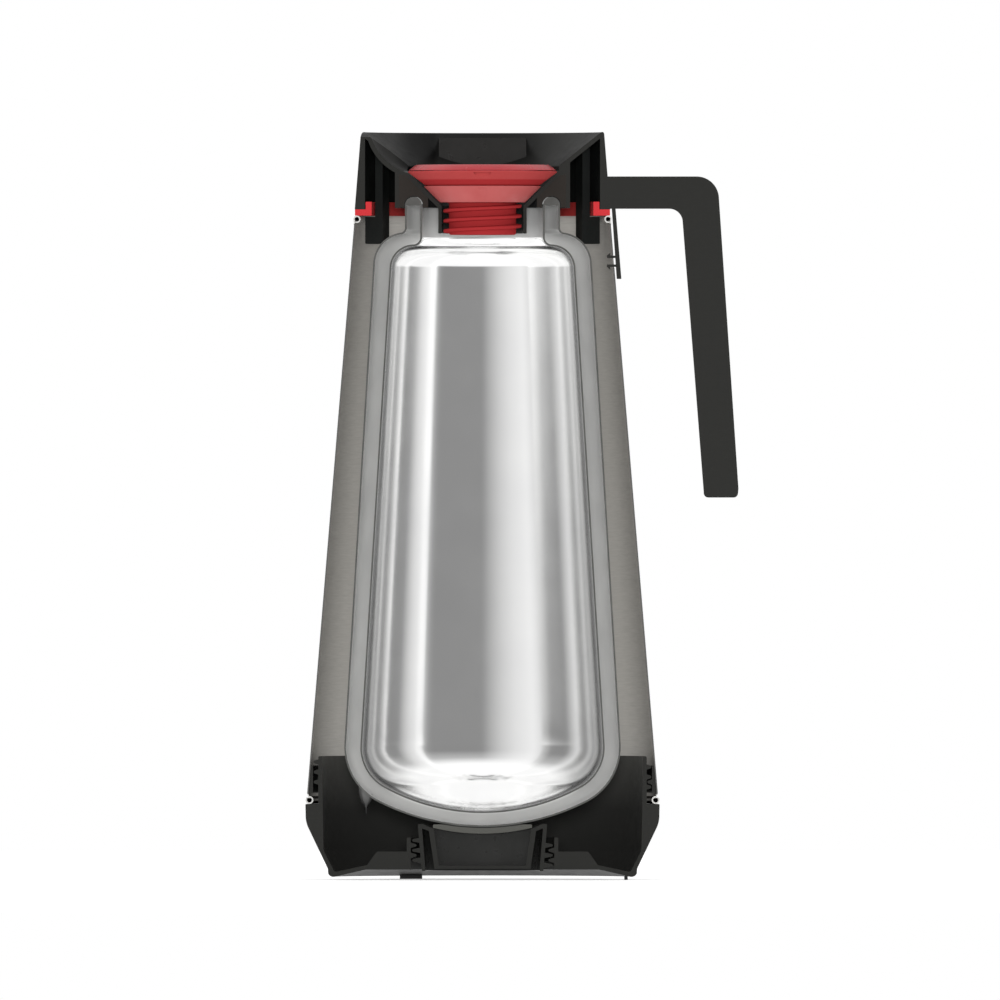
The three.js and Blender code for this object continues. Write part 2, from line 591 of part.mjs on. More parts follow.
// the soft block between the head and the flask's rim
function rimGasket() {
  const clear = THREAD_CLEARANCE;
  const grooveR = (OUTER_BOTTLE.neckR + INNER_BOTTLE.neckR) / 2;
  const groove = (OUTER_BOTTLE.neckR - INNER_BOTTLE.neckR) / 2 + clear;
  const under = UNDER + clear;
  return half(
    revolve([
      [RIM_GASKET.innerR, RIM_GASKET.bottomZ],
      [RIM_GASKET.innerR, seatZ(RIM_GASKET.innerR) - under],
      [SEAT.topR, seatZ(SEAT.topR) - under],
      [RIM_GASKET.outerR, RIM_GASKET.topZ - 0.1],
      [RIM_GASKET.outerR, RIM_GASKET.bottomZ],
      [grooveR + groove, RIM_GASKET.bottomZ],
      ...arc(grooveR, FLASK_RIM_Z, groove, 0, 180, 6),
      [grooveR - groove, RIM_GASKET.bottomZ],
    ]),
  );
}

// ---- stopper ----------------------------------------------------------------------------------------

// the body with its threaded neck, left hollow from above with a bar across to turn it by
function stopper() {
  const coneR = STOPPER_SEAL.thick + FIT_GAP;
  const body = revolve([
    [0, STOPPER_NECK.bottomZ],
    [STOPPER.coreR - 0.6, STOPPER_NECK.bottomZ],
    [STOPPER.coreR, STOPPER_NECK.bottomZ + 0.6],
    [STOPPER.coreR, STOPPER_NECK.topZ],
    [STOPPER_SEAL.lowR - coneR, STOPPER_NECK.topZ + 0.5],
    [STOPPER_SEAL.outerR - coneR, STOPPER.ledgeZ],
    [STOPPER.ledgeR, STOPPER.ledgeZ],
    [STOPPER.flangeR, STOPPER.flangeZ],
    [STOPPER_LID.wellR - 1, STOPPER.flangeZ],
    [STOPPER_WELL.ledgeR, STOPPER.ledgeZ + 2],
    [STOPPER_WELL.topR, STOPPER_WELL.stepZ],
    [STOPPER_WELL.bottomR, STOPPER_WELL.floorZ],
    [0, STOPPER_WELL.floorZ],
  ]);
  const ridge = thread(STOPPER_THREAD, STOPPER.coreR - ROOT_BITE, STOPPER.crestR, STOPPER_THREAD_Z);
  const notchOutline = [
    [-NOTCH.topHalf, NOTCH.topZ],
    [NOTCH.topHalf, NOTCH.topZ],
    [NOTCH.bottomHalf, NOTCH.bottomZ],
    [-NOTCH.bottomHalf, NOTCH.bottomZ],
  ];
  const notch = plate(notchOutline, -STOPPER.flangeR - 1, -STOPPER.flangeR + NOTCH.deep);
  const { halfLength, halfWidth, bottomZ } = STOPPER_GRIP;
  const gripBar = box(-halfLength, halfLength, -halfWidth, halfWidth, bottomZ, STOPPER.flangeZ);
  const room = revolve([
    [0, STOPPER_WELL.stepZ],
    [STOPPER_WELL.topR, STOPPER_WELL.stepZ],
    [STOPPER_WELL.ledgeR + 1, STOPPER.ledgeZ + 2],
    [STOPPER_LID.wellR, STOPPER.flangeZ],
    [0, STOPPER.flangeZ],
  ]);
  return body.add(gripBar.intersect(room)).add(ridge).subtract(notch);
}

// the bevelled ring that snaps on top of the stopper
function stopperLid() {
  const bottomZ = STOPPER.flangeZ + FIT_GAP;
  return revolve([
    [STOPPER_LID.wellR - 1, bottomZ],
    [STOPPER.flangeR - 0.4, bottomZ],
    [STOPPER_LID.topR, STOPPER_LID.topZ],
    [STOPPER_LID.wellR, STOPPER_LID.topZ],
  ]);
}

// the soft cone on the stopper that closes against the head's seat
function stopperSeal() {
  const outerZ = (r) => STOPPER.ledgeZ - 0.6 - (STOPPER_SEAL.outerR - r);
  const { outerR, lowR, thick } = STOPPER_SEAL;
  return revolve([
    [outerR - thick, STOPPER.ledgeZ - 0.4],
    [outerR, outerZ(outerR)],
    [lowR, outerZ(lowR)],
    [lowR - thick, outerZ(lowR) + 0.3],
  ]);
}

addPart('casing', casing(), '#b5b0aa', 0.35, 1);
addPart('casing_thread_ring', casingThreadRing(), ...BLACK_PLASTIC);
addPart('base', base(), ...BLACK_PLASTIC);
FOOT.angles.forEach((angle, i) => addPart(`foot_${i + 1}`, foot(angle), ...BLACK_RUBBER));
addPart('support_cap', supportCap(), ...BLACK_PLASTIC);
addPart('flask_cushion', flaskCushion(), '#5e5e59', 0.8, 0);
addPart('vacuum_flask', vacuumFlask(), '#d8d8d6', 0.05, 1);
addPart('head', head(), ...BLACK_PLASTIC);
addPart('head_seal_ring', headSealRing(), ...RED_RUBBER);
addPart('rim_gasket', rimGasket(), ...BLACK_RUBBER);
addPart('stopper', stopper(), ...RED_PLASTIC);
addPart('stopper_lid', stopperLid(), ...RED_PLASTIC);
addPart('stopper_seal', stopperSeal(), ...RED_RUBBER);

export default group;
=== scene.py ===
"""A thermal coffee jug sawn in half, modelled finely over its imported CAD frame.

Shapes are drawn in millimetres round the jug's own axis (r or x outwards, y away from the cut face, z up)
and are moved into the frame, in metres, when each piece is finished. The half with y >= 0 is kept.
"""
import math

import bmesh
import bpy
from mathutils import Matrix, Vector
from mathutils.bvhtree import BVHTree


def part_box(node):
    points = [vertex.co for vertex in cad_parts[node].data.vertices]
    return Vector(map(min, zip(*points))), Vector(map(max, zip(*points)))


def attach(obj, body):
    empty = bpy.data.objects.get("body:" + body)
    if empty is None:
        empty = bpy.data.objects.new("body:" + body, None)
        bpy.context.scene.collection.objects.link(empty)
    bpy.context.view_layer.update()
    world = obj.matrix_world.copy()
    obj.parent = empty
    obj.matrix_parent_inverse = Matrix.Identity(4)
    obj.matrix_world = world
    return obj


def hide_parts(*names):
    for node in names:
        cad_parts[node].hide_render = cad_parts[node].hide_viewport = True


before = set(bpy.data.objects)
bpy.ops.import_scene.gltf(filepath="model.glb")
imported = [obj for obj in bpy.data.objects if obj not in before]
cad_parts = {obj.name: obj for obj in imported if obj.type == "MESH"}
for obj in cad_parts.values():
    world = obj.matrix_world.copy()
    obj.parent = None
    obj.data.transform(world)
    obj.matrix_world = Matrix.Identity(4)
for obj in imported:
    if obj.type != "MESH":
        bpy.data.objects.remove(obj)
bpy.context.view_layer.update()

# ---- driving dimensions, in millimetres --------------------------------------------------------------

SEGMENTS = 192  # sides of a turned piece
THREAD_SIDES = 96  # steps in one turn of a thread
PITCH = 4.5
TAPER = 0.0826
RIM_Z = 336.6
FAR = 130  # further out than any piece

RING_THREAD = dict(root_width=2.6, crest_width=1.1, start=-170, turns=0.94)
NECK_THREAD = dict(root_width=2.6, crest_width=1.1, start=0, turns=2.5)
BOSS_THREAD = dict(root_width=2.6, crest_width=0.9, start=-180, turns=2.4)
CAP_THREAD = dict(root_width=2.9, crest_width=0.9, start=0, turns=3.0)
STOPPER_THREAD = dict(root_width=2.1, crest_width=1.2, start=-220, turns=2.65)
SLEEVE_LUG = dict(root_width=1.7, crest_width=0.9, start=50, turns=80 / 360)
BASE_THREAD_Z = 41.85
CAP_THREAD_Z = 6.6
STOPPER_THREAD_Z = 294.3

CASING_TOP_Z = 297.2
CASING_TOP_R = 57.6
CASING_BOTTOM_Z = 38.4
SHEET = 0.6

BOWL = dict(outer=79.7, ledge=34.2, top=55.7, neck=73.9, inner=72.3, floor=4.7, ring=1.4)
BOSS = dict(outer=34.1, inner=32.3, crest=29.7, top=19.1)
CAP = dict(rim=29.1, foot=27.4, top=25.2, bottom=4.0, wall=1.7, crest=31.6)
DISH = dict(low=20.5, radius=94.7, edge=22.7, plate=2.0)

GLASS = 0.8
OUTER_BOTTLE = dict(bowl=(127.9, 104), corner=(34.2, 28), shoulder=(34.6, 276.9, 14.6), neck=34.9, fillet=2.0)
INNER_BOTTLE = dict(bowl=(121.9, 91), corner=(34.2, 20), shoulder=(31.0, 275.2, 10.0), neck=27.2, fillet=4.0)
FLASK_RIM_Z = 303.55
WALL_LEAN = 3.5

FUNNEL_TOP = (52.9, 336.2)
FUNNEL_BOTTOM = (35.0, 321.9)
SEAT_RISE = 284.9
SEAT_TOP_R = 34.4
SEAT_WALL = 2.5
SKIRT_R = 37.6
SKIRT_WALL = 1.8
HEAD_WALL_R = 52.9
HEAD_BOTTOM_Z = 301.8
TROUGH_R = 12.7
TROUGH_WALL = 1.9
BEND_R = 27.45
BEND_Z = 340.8
BEND_RADIUS = 23.5
LIP_Z = 334.4
LEDGE_Z = 312.3  # where the stopper's cone meets its flange

# ---- frame -------------------------------------------------------------------------------------------

MM = 0.001
lid_low, lid_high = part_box("stopper_lid")
AXIS = (lid_low + lid_high) / 2
AXIS.z = 0
INTO_FRAME = Matrix.Translation(AXIS) @ Matrix.Scale(MM, 4)

# ---- shape helpers -----------------------------------------------------------------------------------


def arc(r, z, radius, start, end, steps):
    """Points on a circle in the (r, z) plane."""
    angles = [math.radians(start + (end - start) * i / steps) for i in range(steps + 1)]
    return [(r + radius * math.cos(a), z + radius * math.sin(a)) for a in angles]


def rounded(outline, radius, steps=4):
    """The closed outline with every corner cut by a small round of up to that radius."""
    points = []
    count = len(outline)
    for i, corner in enumerate(outline):
        here = Vector(corner)
        before = Vector(outline[i - 1]) - here
        after = Vector(outline[(i + 1) % count]) - here
        reach = min(radius, before.length * 0.45, after.length * 0.45)
        start = here + before.normalized() * reach
        end = here + after.normalized() * reach
        for k in range(steps + 1):
            t = k / steps
            points.append(tuple(start * (1 - t) ** 2 + here * 2 * t * (1 - t) + end * t ** 2))
    return points


def solid(mesh_data, name="shape"):
    bmesh.ops.recalc_face_normals(mesh_data, faces=mesh_data.faces)
    mesh = bpy.data.meshes.new(name)
    mesh_data.to_mesh(mesh)
    mesh_data.free()
    shape = bpy.data.objects.new(name, mesh)
    bpy.context.scene.collection.objects.link(shape)
    return shape


def revolve(outline, segments=SEGMENTS):
    """Turns an outline of (r, z) points about the axis. One that doesn't start on the axis is closed."""
    made = bmesh.new()
    rings = []
    for r, z in outline:
        if r < 1e-6:
            rings.append([made.verts.new((0, 0, z))])
            continue
        angles = [2 * math.pi * i / segments for i in range(segments)]
        rings.append([made.verts.new((r * math.cos(a), r * math.sin(a), z)) for a in angles])
    pairs = list(zip(rings, rings[1:]))
    if outline[0][0] > 1e-6:
        pairs.append((rings[-1], rings[0]))
    for low, high in pairs:
        for i in range(segments):
            k = (i + 1) % segments
            corners = [low[i % len(low)], low[k % len(low)], high[k % len(high)], high[i % len(high)]]
            corners = list(dict.fromkeys(corners))
            if len(corners) > 2:
                made.faces.new(corners)
    return solid(made)


def prism(outline, low, high, along="y"):
    """A plate with an outline in the other two axes, from low to high along one."""
    made = bmesh.new()
    ends = []
    for level in (low, high):
        if along == "y":
            ends.append([made.verts.new((a, level, b)) for a, b in outline])
        elif along == "x":
            ends.append([made.verts.new((level, a, b)) for a, b in outline])
        else:
            ends.append([made.verts.new((a, b, level)) for a, b in outline])
    made.faces.new(ends[0])
    made.faces.new(ends[1])
    for i in range(len(outline)):
        k = (i + 1) % len(outline)
        made.faces.new([ends[0][i], ends[0][k], ends[1][k], ends[1][i]])
    return solid(made)


def block(x, y, z):
    return prism([(x[0], z[0]), (x[1], z[0]), (x[1], z[1]), (x[0], z[1])], y[0], y[1])


def tapered_block(top_half, bottom_half, bottom_z, top_z):
    """A box whose half sizes in x and y change from its top to its bottom."""
    made = bmesh.new()
    levels = []
    for (half_x, half_y), z in ((bottom_half, bottom_z), (top_half, top_z)):
        corners = [(-half_x, -half_y, z), (half_x, -half_y, z), (half_x, half_y, z), (-half_x, half_y, z)]
        levels.append([made.verts.new(corner) for corner in corners])
    made.faces.new(levels[0])
    made.faces.new(levels[1])
    for i in range(4):
        k = (i + 1) % 4
        made.faces.new([levels[0][i], levels[0][k], levels[1][k], levels[1][i]])
    return solid(made)


def wedge(angle, spread):
    """A pie slice of space centred on an angle in degrees."""
    sides = [math.radians(angle - spread / 2), math.radians(angle + spread / 2)]
    outline = [(0, 0)] + [(FAR * math.cos(a), FAR * math.sin(a)) for a in sides]
    return prism(outline, -1, RIM_Z + 1, along="z")


def sheet_outline(path, thickness):
    """Both sides of a thin sheet that follows a path of (r, z) points."""
    left, right = [], []
    for i, (r, z) in enumerate(path):
        before = Vector(path[max(i - 1, 0)])
        after = Vector(path[min(i + 1, len(path) - 1)])
        here = Vector((r, z))
        along = ((here - before).normalized() + (after - here).normalized()).normalized()
        side = Vector((-along.y, along.x)) * thickness / 2
        left.append(tuple(here + side))
        right.append(tuple(here - side))
    return left + right[::-1]


def thread(root_r, crest_r, z_at_zero, root_width, crest_width, start, turns):
    """A screw thread: a trapezoid with a softened crest, carried up a helix from start, in degrees."""
    made = bmesh.new()
    count = round(turns * THREAD_SIDES)
    soft = 0.25 if crest_r > root_r else -0.25
    lower = [(root_r, -root_width / 2), (crest_r - soft, -crest_width / 2 - 0.08),
             (crest_r, -crest_width / 2 + 0.2)]
    outline = lower + [(r, -h) for r, h in lower[::-1]]
    sections = []
    for i in range(count + 1):
        angle = start + 360 * i / THREAD_SIDES
        z = z_at_zero + PITCH * angle / 360
        a = math.radians(angle)
        sections.append([made.verts.new((r * math.cos(a), r * math.sin(a), z + h)) for r, h in outline])
    made.faces.new(sections[0])
    made.faces.new(sections[-1])
    for low, high in zip(sections, sections[1:]):
        for i in range(len(outline)):
            k = (i + 1) % len(outline)
            made.faces.new([low[i], low[k], high[k], high[i]])
    return solid(made)


def combine(target, operation, *tools):
    """Joins, cuts or intersects target with the tools, which are used up."""
    for tool in tools:
        step = target.modifiers.new("step", "BOOLEAN")
        step.solver = "MANIFOLD"
        step.operation = operation
        step.object = tool
    bpy.context.view_layer.update()
    seen = target.evaluated_get(bpy.context.evaluated_depsgraph_get())
    made = bpy.data.meshes.new_from_object(seen)
    target.modifiers.clear()
    target.data = made
    for tool in tools:
        bpy.data.objects.remove(tool)
    return target


def half(shape):
    """Keeps what is behind the cut."""
    return combine(shape, "INTERSECT", block((-FAR, FAR), (0, FAR), (-5, RIM_Z + 5)))


def surface_of(shape):
    """A search tree that finds the nearest point of the shape."""
    faces = [face.vertices for face in shape.data.polygons]
    return BVHTree.FromPolygons([vertex.co for vertex in shape.data.vertices], faces)


def funnel_z(r):
    slope = (FUNNEL_TOP[1] - FUNNEL_BOTTOM[1]) / (FUNNEL_TOP[0] - FUNNEL_BOTTOM[0])
    return FUNNEL_TOP[1] - (FUNNEL_TOP[0] - r) * slope


def seat_z(r):
    return r + SEAT_RISE


# ---- materials ---------------------------------------------------------------------------------------


def fill_ramp(made, stops):
    """Sets a colour ramp node's (place, colour) stops."""
    elements = made.color_ramp.elements
    while len(elements) < len(stops):
        elements.new(0.5)
    for element, (place, colour) in zip(elements, stops):
        element.position = place
        element.color = (*colour, 1)
    return made


def greys(stops):
    """The same stops with each level made a grey."""
    return [(place, (level, level, level)) for place, level in stops]


class Nodes:
    """A material's node tree, with short calls for what the materials here share."""

    def __init__(self, name):
        self.material = bpy.data.materials.new(name)
        self.material.use_nodes = True
        self.tree = self.material.node_tree
        self.shader = self.tree.nodes["Principled BSDF"]
        self.place = self.tree.nodes.new("ShaderNodeTexCoord").outputs["Object"]

    def node(self, kind, **settings):
        made = self.tree.nodes.new(kind)
        for key, value in settings.items():
            setattr(made, key, value)
        return made

    def link(self, source, target):
        self.tree.links.new(source, target)

    def set(self, **values):
        for key, value in values.items():
            self.shader.inputs[key.replace("_", " ")].default_value = value

    def noise(self, scale, detail=3.0, vector=None, roughness=0.5):
        made = self.node("ShaderNodeTexNoise")
        made.inputs["Scale"].default_value = scale
        made.inputs["Detail"].default_value = detail
        made.inputs["Roughness"].default_value = roughness
        self.link(vector or self.place, made.inputs["Vector"])
        return made.outputs["Fac"]

    def spread(self, value, low, high, from_low=0.3, from_high=0.7):
        made = self.node("ShaderNodeMapRange")
        made.inputs["From Min"].default_value = from_low
        made.inputs["From Max"].default_value = from_high
        made.inputs["To Min"].default_value = low
        made.inputs["To Max"].default_value = high
        self.link(value, made.inputs["Value"])
        return made.outputs["Result"]

    def colours(self, value, *stops):
        """A colour ramp through (place, colour) stops."""
        made = fill_ramp(self.node("ShaderNodeValToRGB"), stops)
        self.link(value, made.inputs["Fac"])
        self.link(made.outputs["Color"], self.shader.inputs["Base Color"])

    def glow(self, value, colour, *stops):
        """Painted light: lets the surface shine faintly, though it is no lamp, by (place, strength) stops
        along a value.
        """
        made = fill_ramp(self.node("ShaderNodeValToRGB"), greys(stops))
        self.link(value, made.inputs["Fac"])
        self.link(made.outputs["Color"], self.shader.inputs["Emission Strength"])
        self.set(Emission_Color=(*colour, 1))

    def parts(self):
        """The three coordinates of a point."""
        made = self.node("ShaderNodeSeparateXYZ")
        self.link(self.place, made.inputs["Vector"])
        return made.outputs

    def aside(self, reach):
        """How far to the right a point lies, from 0 at -reach to 1 at reach millimetres from the axis."""
        return self.spread(self.parts()["X"], 0, 1, AXIS.x - reach * MM, AXIS.x + reach * MM)

    def depth(self, far):
        """How far a point lies behind the cut, from 0 on it to 1 at far millimetres."""
        return self.spread(self.parts()["Y"], 0, 1, AXIS.y, AXIS.y + far * MM)

    def height(self, low, high):
        """How high a point lies, from 0 at low to 1 at high, in millimetres."""
        return self.spread(self.parts()["Z"], 0, 1, low * MM, high * MM)

    def blurred(self, value, noise, amount):
        """The value with a little noise added, so that a band made from it has no hard edge."""
        made = self.node("ShaderNodeMath", operation="MULTIPLY_ADD")
        self.link(noise, made.inputs[0])
        made.inputs[1].default_value = amount
        self.link(value, made.inputs[2])
        return made.outputs[0]

    def roughness(self, value, low, high):
        self.link(self.spread(value, low, high), self.shader.inputs["Roughness"])

    def bump(self, value, strength, distance):
        made = self.node("ShaderNodeBump")
        made.inputs["Strength"].default_value = strength
        made.inputs["Distance"].default_value = distance
        self.link(value, made.inputs["Height"])
        self.link(made.outputs["Normal"], self.shader.inputs["Normal"])

    def around(self, along_scale, height_scale):
        """Coordinates that run round the jug's axis, so that a noise in them is stretched into rings."""
        parts = self.parts()
        shifted = []
        for name, centre in (("X", AXIS.x), ("Y", AXIS.y)):
            less = self.node("ShaderNodeMath", operation="SUBTRACT")
            self.link(parts[name], less.inputs[0])
            less.inputs[1].default_value = centre
            shifted.append(less.outputs[0])
        turn = self.node("ShaderNodeMath", operation="ARCTAN2")
        self.link(shifted[1], turn.inputs[0])
        self.link(shifted[0], turn.inputs[1])
        joined = self.node("ShaderNodeCombineXYZ")
        for source, factor, target in ((turn.outputs[0], along_scale, "X"), (parts["Z"], height_scale, "Z")):
            scaled = self.node("ShaderNodeMath", operation="MULTIPLY")
            self.link(source, scaled.inputs[0])
            scaled.inputs[1].default_value = factor
            self.link(scaled.outputs[0], joined.inputs[target])
        return joined.outputs[0]


def moulded_plastic(name, dark, light, roughness, gloss):
    """Moulded plastic: a faint cloudiness in the colour and a very fine grain."""
    made = Nodes(name)
    made.colours(made.noise(90), (0.3, dark), (0.7, light))
    made.roughness(made.noise(260, 4), roughness - 0.04, roughness + 0.05)
    made.bump(made.noise(2600, 2), 0.02, 0.0002)
    made.set(Specular_IOR_Level=gloss)
    return made.material


def funnel_shade_and_reflection():
    """The funnel's polished wall, with painted shade and reflection graded across it: darker round the back
    panel, most of all on the spout's side, and lighter towards both sides.
    """
    made = Nodes("black_plastic_funnel_shade_and_reflection")
    levels = [(0.0, 0.024), (0.083, 0.0195), (0.12, 0.0097), (0.16, 0.002), (0.27, 0.002), (0.295, 0.009),
              (0.705, 0.009), (0.73, 0.011), (0.79, 0.017), (0.96, 0.027)]
    made.colours(made.aside(48), *[(place, (level, level, level * 0.95)) for place, level in levels])
    made.roughness(made.noise(260, 4), 0.3, 0.4)
    made.bump(made.noise(2600, 2), 0.02, 0.0002)
    made.set(Specular_IOR_Level=0.05)
    return made.material


def bowl_plastic_painted_shade():
    """The bowl's inside, with painted shade: darker down towards its floor, paler towards its rim."""
    made = Nodes("black_plastic_bowl_painted_shade")
    made.colours(made.blurred(made.height(12, 55), made.noise(60), 0.1), (0.1, (0.026, 0.026, 0.0245)),
                 (0.5, (0.03, 0.03, 0.0285)), (1.0, (0.078, 0.078, 0.073)))
    made.roughness(made.noise(260, 4), 0.4, 0.5)
    made.bump(made.noise(2600, 2), 0.02, 0.0002)
    made.set(Specular_IOR_Level=0.2)
    return made.material


def cut_face(name, colour, roughness=0.8):
    """A sawn face: one even colour with the faintest trace of the blade. Its even colour also serves as
    painted shade inside the rolled edges.
    """
    made = Nodes(name)
    light = tuple(c * 1.04 for c in colour)
    stretched = made.node("ShaderNodeMapping")
    stretched.inputs["Scale"].default_value = (1, 1, 14)
    made.link(made.place, stretched.inputs["Vector"])
    made.colours(made.noise(120, 3, stretched.outputs[0]), (0.3, colour), (0.7, light))
    made.roughness(made.noise(300), roughness, roughness + 0.1)
    made.set(Specular_IOR_Level=0.1)
    return made.material


def brushed_steel():
    made = Nodes("brushed_steel")
    rings = made.around(3.0, 900.0)
    lines = made.noise(1.6, 6, rings, 0.7)
    wide = made.noise(0.22, 3, rings)
    made.colours(lines, (0.3, (0.36, 0.335, 0.305)), (0.7, (0.62, 0.59, 0.55)))
    made.roughness(wide, 0.3, 0.42)
    made.bump(lines, 0.25, 0.0002)
    made.set(Metallic=1.0, Anisotropic=0.5)
    return made.material


def dull_steel_painted_glow():
    """The unpolished inner side of the sheet: duller, warmer, with rolling lines running round it, and a
    painted glow that grows the further it lies behind the cut.
    """
    made = Nodes("dull_steel_painted_glow")
    rings = made.around(5.0, 900.0)
    lines = made.noise(1.5, 6, rings, 0.7)
    made.colours(lines, (0.3, (0.20, 0.192, 0.177)), (0.7, (0.29, 0.282, 0.262)))
    # Painted light: the surface glows more the further it lies behind the cut.
    made.glow(made.depth(45), (1, 0.97, 0.91), (0.0, 0.0), (0.33, 0.04), (0.8, 0.15), (1.0, 0.2))
    made.roughness(made.noise(0.3, 3, rings), 0.42, 0.55)
    made.bump(lines, 0.2, 0.0002)
    made.set(Metallic=0.1)
    return made.material


def silvered_glass():
    made = Nodes("silvered_glass")
    made.colours(made.noise(30), (0.3, (0.95, 0.95, 0.95)), (0.7, (0.99, 0.99, 0.985)))
    made.roughness(made.noise(40, 2), 0.10, 0.13)
    made.bump(made.noise(16, 1), 0.05, 0.002)
    # Painted light: the silvering glows faintly near the cut and fades out about 17 mm behind it.
    made.glow(made.depth(18), (1, 1, 0.99), (0.0, 0.19), (0.45, 0.16), (0.72, 0.03), (0.95, 0.0))
    made.set(Metallic=1.0)
    return made.material


def silvered_gap_shade_and_glow():
    """The silvering seen in the gap between the bottles: a softer, greyer copy of the silver than inside, as
    painted shade, with a painted glow that grows the further it lies behind the cut.
    """
    made = Nodes("silvered_gap_shade_and_glow")
    made.colours(made.noise(45), (0.3, (0.46, 0.46, 0.455)), (0.7, (0.54, 0.54, 0.53)))
    made.roughness(made.noise(60, 2), 0.28, 0.36)
    made.bump(made.noise(30, 1), 0.04, 0.001)
    # Painted light: the glow is nil near the cut and grows strongest 40 mm behind it.
    made.glow(made.depth(40), (1, 1, 0.99), (0.0, 0.0), (0.25, 0.0), (0.5, 0.04), (0.75, 0.07), (1.0, 0.5))
    made.set(Metallic=0.12)
    return made.material


def tip_glass():
    """The melted tip of the pumping tube, where the silvering darkens towards the point."""
    made = Nodes("tip_glass")
    made.colours(made.blurred(made.height(29.6, 42), made.noise(500, 3), 0.2), (0.33, (0.006, 0.006, 0.006)),
                 (0.5, (0.05, 0.05, 0.049)), (1.0, (0.13, 0.13, 0.127)))
    made.roughness(made.noise(300), 0.16, 0.24)
    made.set(Metallic=0.3)
    return made.material


def glass_edge():
    made = Nodes("glass_edge")
    made.colours(made.noise(140), (0.3, (0.055, 0.056, 0.052)), (0.7, (0.08, 0.081, 0.077)))
    made.roughness(made.noise(300), 0.3, 0.45)
    made.set(IOR=1.5)
    return made.material


def red_plastic():
    """Tinted plastic, with painted shade: a deeper red below about z 315, on the flange's lower part and all
    beneath it.
    """
    made = Nodes("red_plastic")
    upper = made.node("ShaderNodeMixRGB")
    upper.inputs["Color1"].default_value = (0.34, 0.042, 0.042, 1)
    upper.inputs["Color2"].default_value = (0.39, 0.060, 0.058, 1)
    made.link(made.noise(60), upper.inputs["Fac"])
    # Painted shade: below z 315 the colour turns to this deeper red.
    screw = made.node("ShaderNodeMixRGB")
    screw.inputs["Color2"].default_value = (0.30, 0.024, 0.026, 1)
    made.link(made.height(315.4, 314.9), screw.inputs["Fac"])
    made.link(upper.outputs["Color"], screw.inputs["Color1"])
    made.link(screw.outputs["Color"], made.shader.inputs["Base Color"])
    made.roughness(made.noise(220, 4), 0.26, 0.34)
    made.bump(made.noise(1500, 2), 0.015, 0.0002)
    made.set(Specular_IOR_Level=0.0)
    return made.material


def plain_red(name, dark, light):
    """The same plastic where it is too thin to look deep."""
    made = Nodes(name)
    made.colours(made.noise(60), (0.3, dark), (0.7, light))
    made.roughness(made.noise(220, 4), 0.2, 0.28)
    made.bump(made.noise(1500, 2), 0.015, 0.0002)
    made.set(Subsurface_Weight=0.2, Subsurface_Scale=0.004, Specular_IOR_Level=0.3)
    made.shader.inputs["Subsurface Radius"].default_value = (1.0, 0.2, 0.15)
    return made.material


def seal_silicone():
    """The cone's translucent skin: a clouded, paler red than the plastic."""
    made = Nodes("red_silicone_cone")
    made.colours(made.noise(70), (0.3, (0.38, 0.066, 0.064)), (0.7, (0.42, 0.088, 0.085)))
    made.roughness(made.noise(350, 4), 0.3, 0.4)
    made.bump(made.noise(1800, 3), 0.03, 0.0002)
    made.set(Specular_IOR_Level=0.3)
    return made.material


def soft_rubber(name, dark, light, roughness):
    made = Nodes(name)
    made.colours(made.noise(120), (0.3, dark), (0.7, light))
    made.roughness(made.noise(350, 4), roughness - 0.06, roughness + 0.06)
    made.bump(made.noise(1800, 3), 0.05, 0.0002)
    made.set(Specular_IOR_Level=0.35)
    return made.material


BLACK = moulded_plastic("black_plastic", (0.018, 0.018, 0.017), (0.022, 0.022, 0.021), 0.3, 0.25)
# The funnel's black, with painted shade and reflection graded across it.
BLACK_FUNNEL_SHADE_AND_REFLECTION = funnel_shade_and_reflection()
# The bowl's inside, with painted shade darker towards its floor.
BLACK_BOWL_PAINTED_SHADE = bowl_plastic_painted_shade()
# A near-black copy of the plastic, as painted shade in the head's hidden hollow.
BLACK_PAINTED_SHADE = moulded_plastic("black_plastic_painted_shade", (0.007, 0.008, 0.0075), (0.010, 0.011, 0.0105), 0.55, 0.1)
# A rougher copy of the plastic for faces that look down; it is paler as painted light.
BLACK_UNDER_PAINTED_LIGHT = moulded_plastic("black_plastic_under_painted_light", (0.022, 0.022, 0.021), (0.027, 0.027, 0.0255), 0.5, 0.25)
BLACK_CUT = cut_face("black_plastic_cut", (0.0215, 0.0215, 0.020))
RUBBER = soft_rubber("black_rubber", (0.008, 0.008, 0.008), (0.012, 0.012, 0.012), 0.7)
RUBBER_CUT = cut_face("black_rubber_cut", (0.0235, 0.0205, 0.018))
CUSHION = soft_rubber("grey_rubber", (0.075, 0.075, 0.068), (0.095, 0.095, 0.087), 0.75)
CUSHION_CUT = cut_face("grey_rubber_cut", (0.074, 0.074, 0.067))
STEEL = brushed_steel()
# The sheet's inner finish, carrying painted light that grows deeper behind the cut.
STEEL_INSIDE_PAINTED_GLOW = dull_steel_painted_glow()
STEEL_CUT = cut_face("steel_cut", (0.085, 0.084, 0.081), 0.4)
STEEL_ROLL_CUT = cut_face("steel_roll_cut", (0.47, 0.465, 0.45), 0.4)
# Silvered glass with a painted glow near the cut.
SILVER = silvered_glass()
SILVER_GAP_SHADE_AND_GLOW = silvered_gap_shade_and_glow()
GLASS_CUT = glass_edge()
TIP = tip_glass()
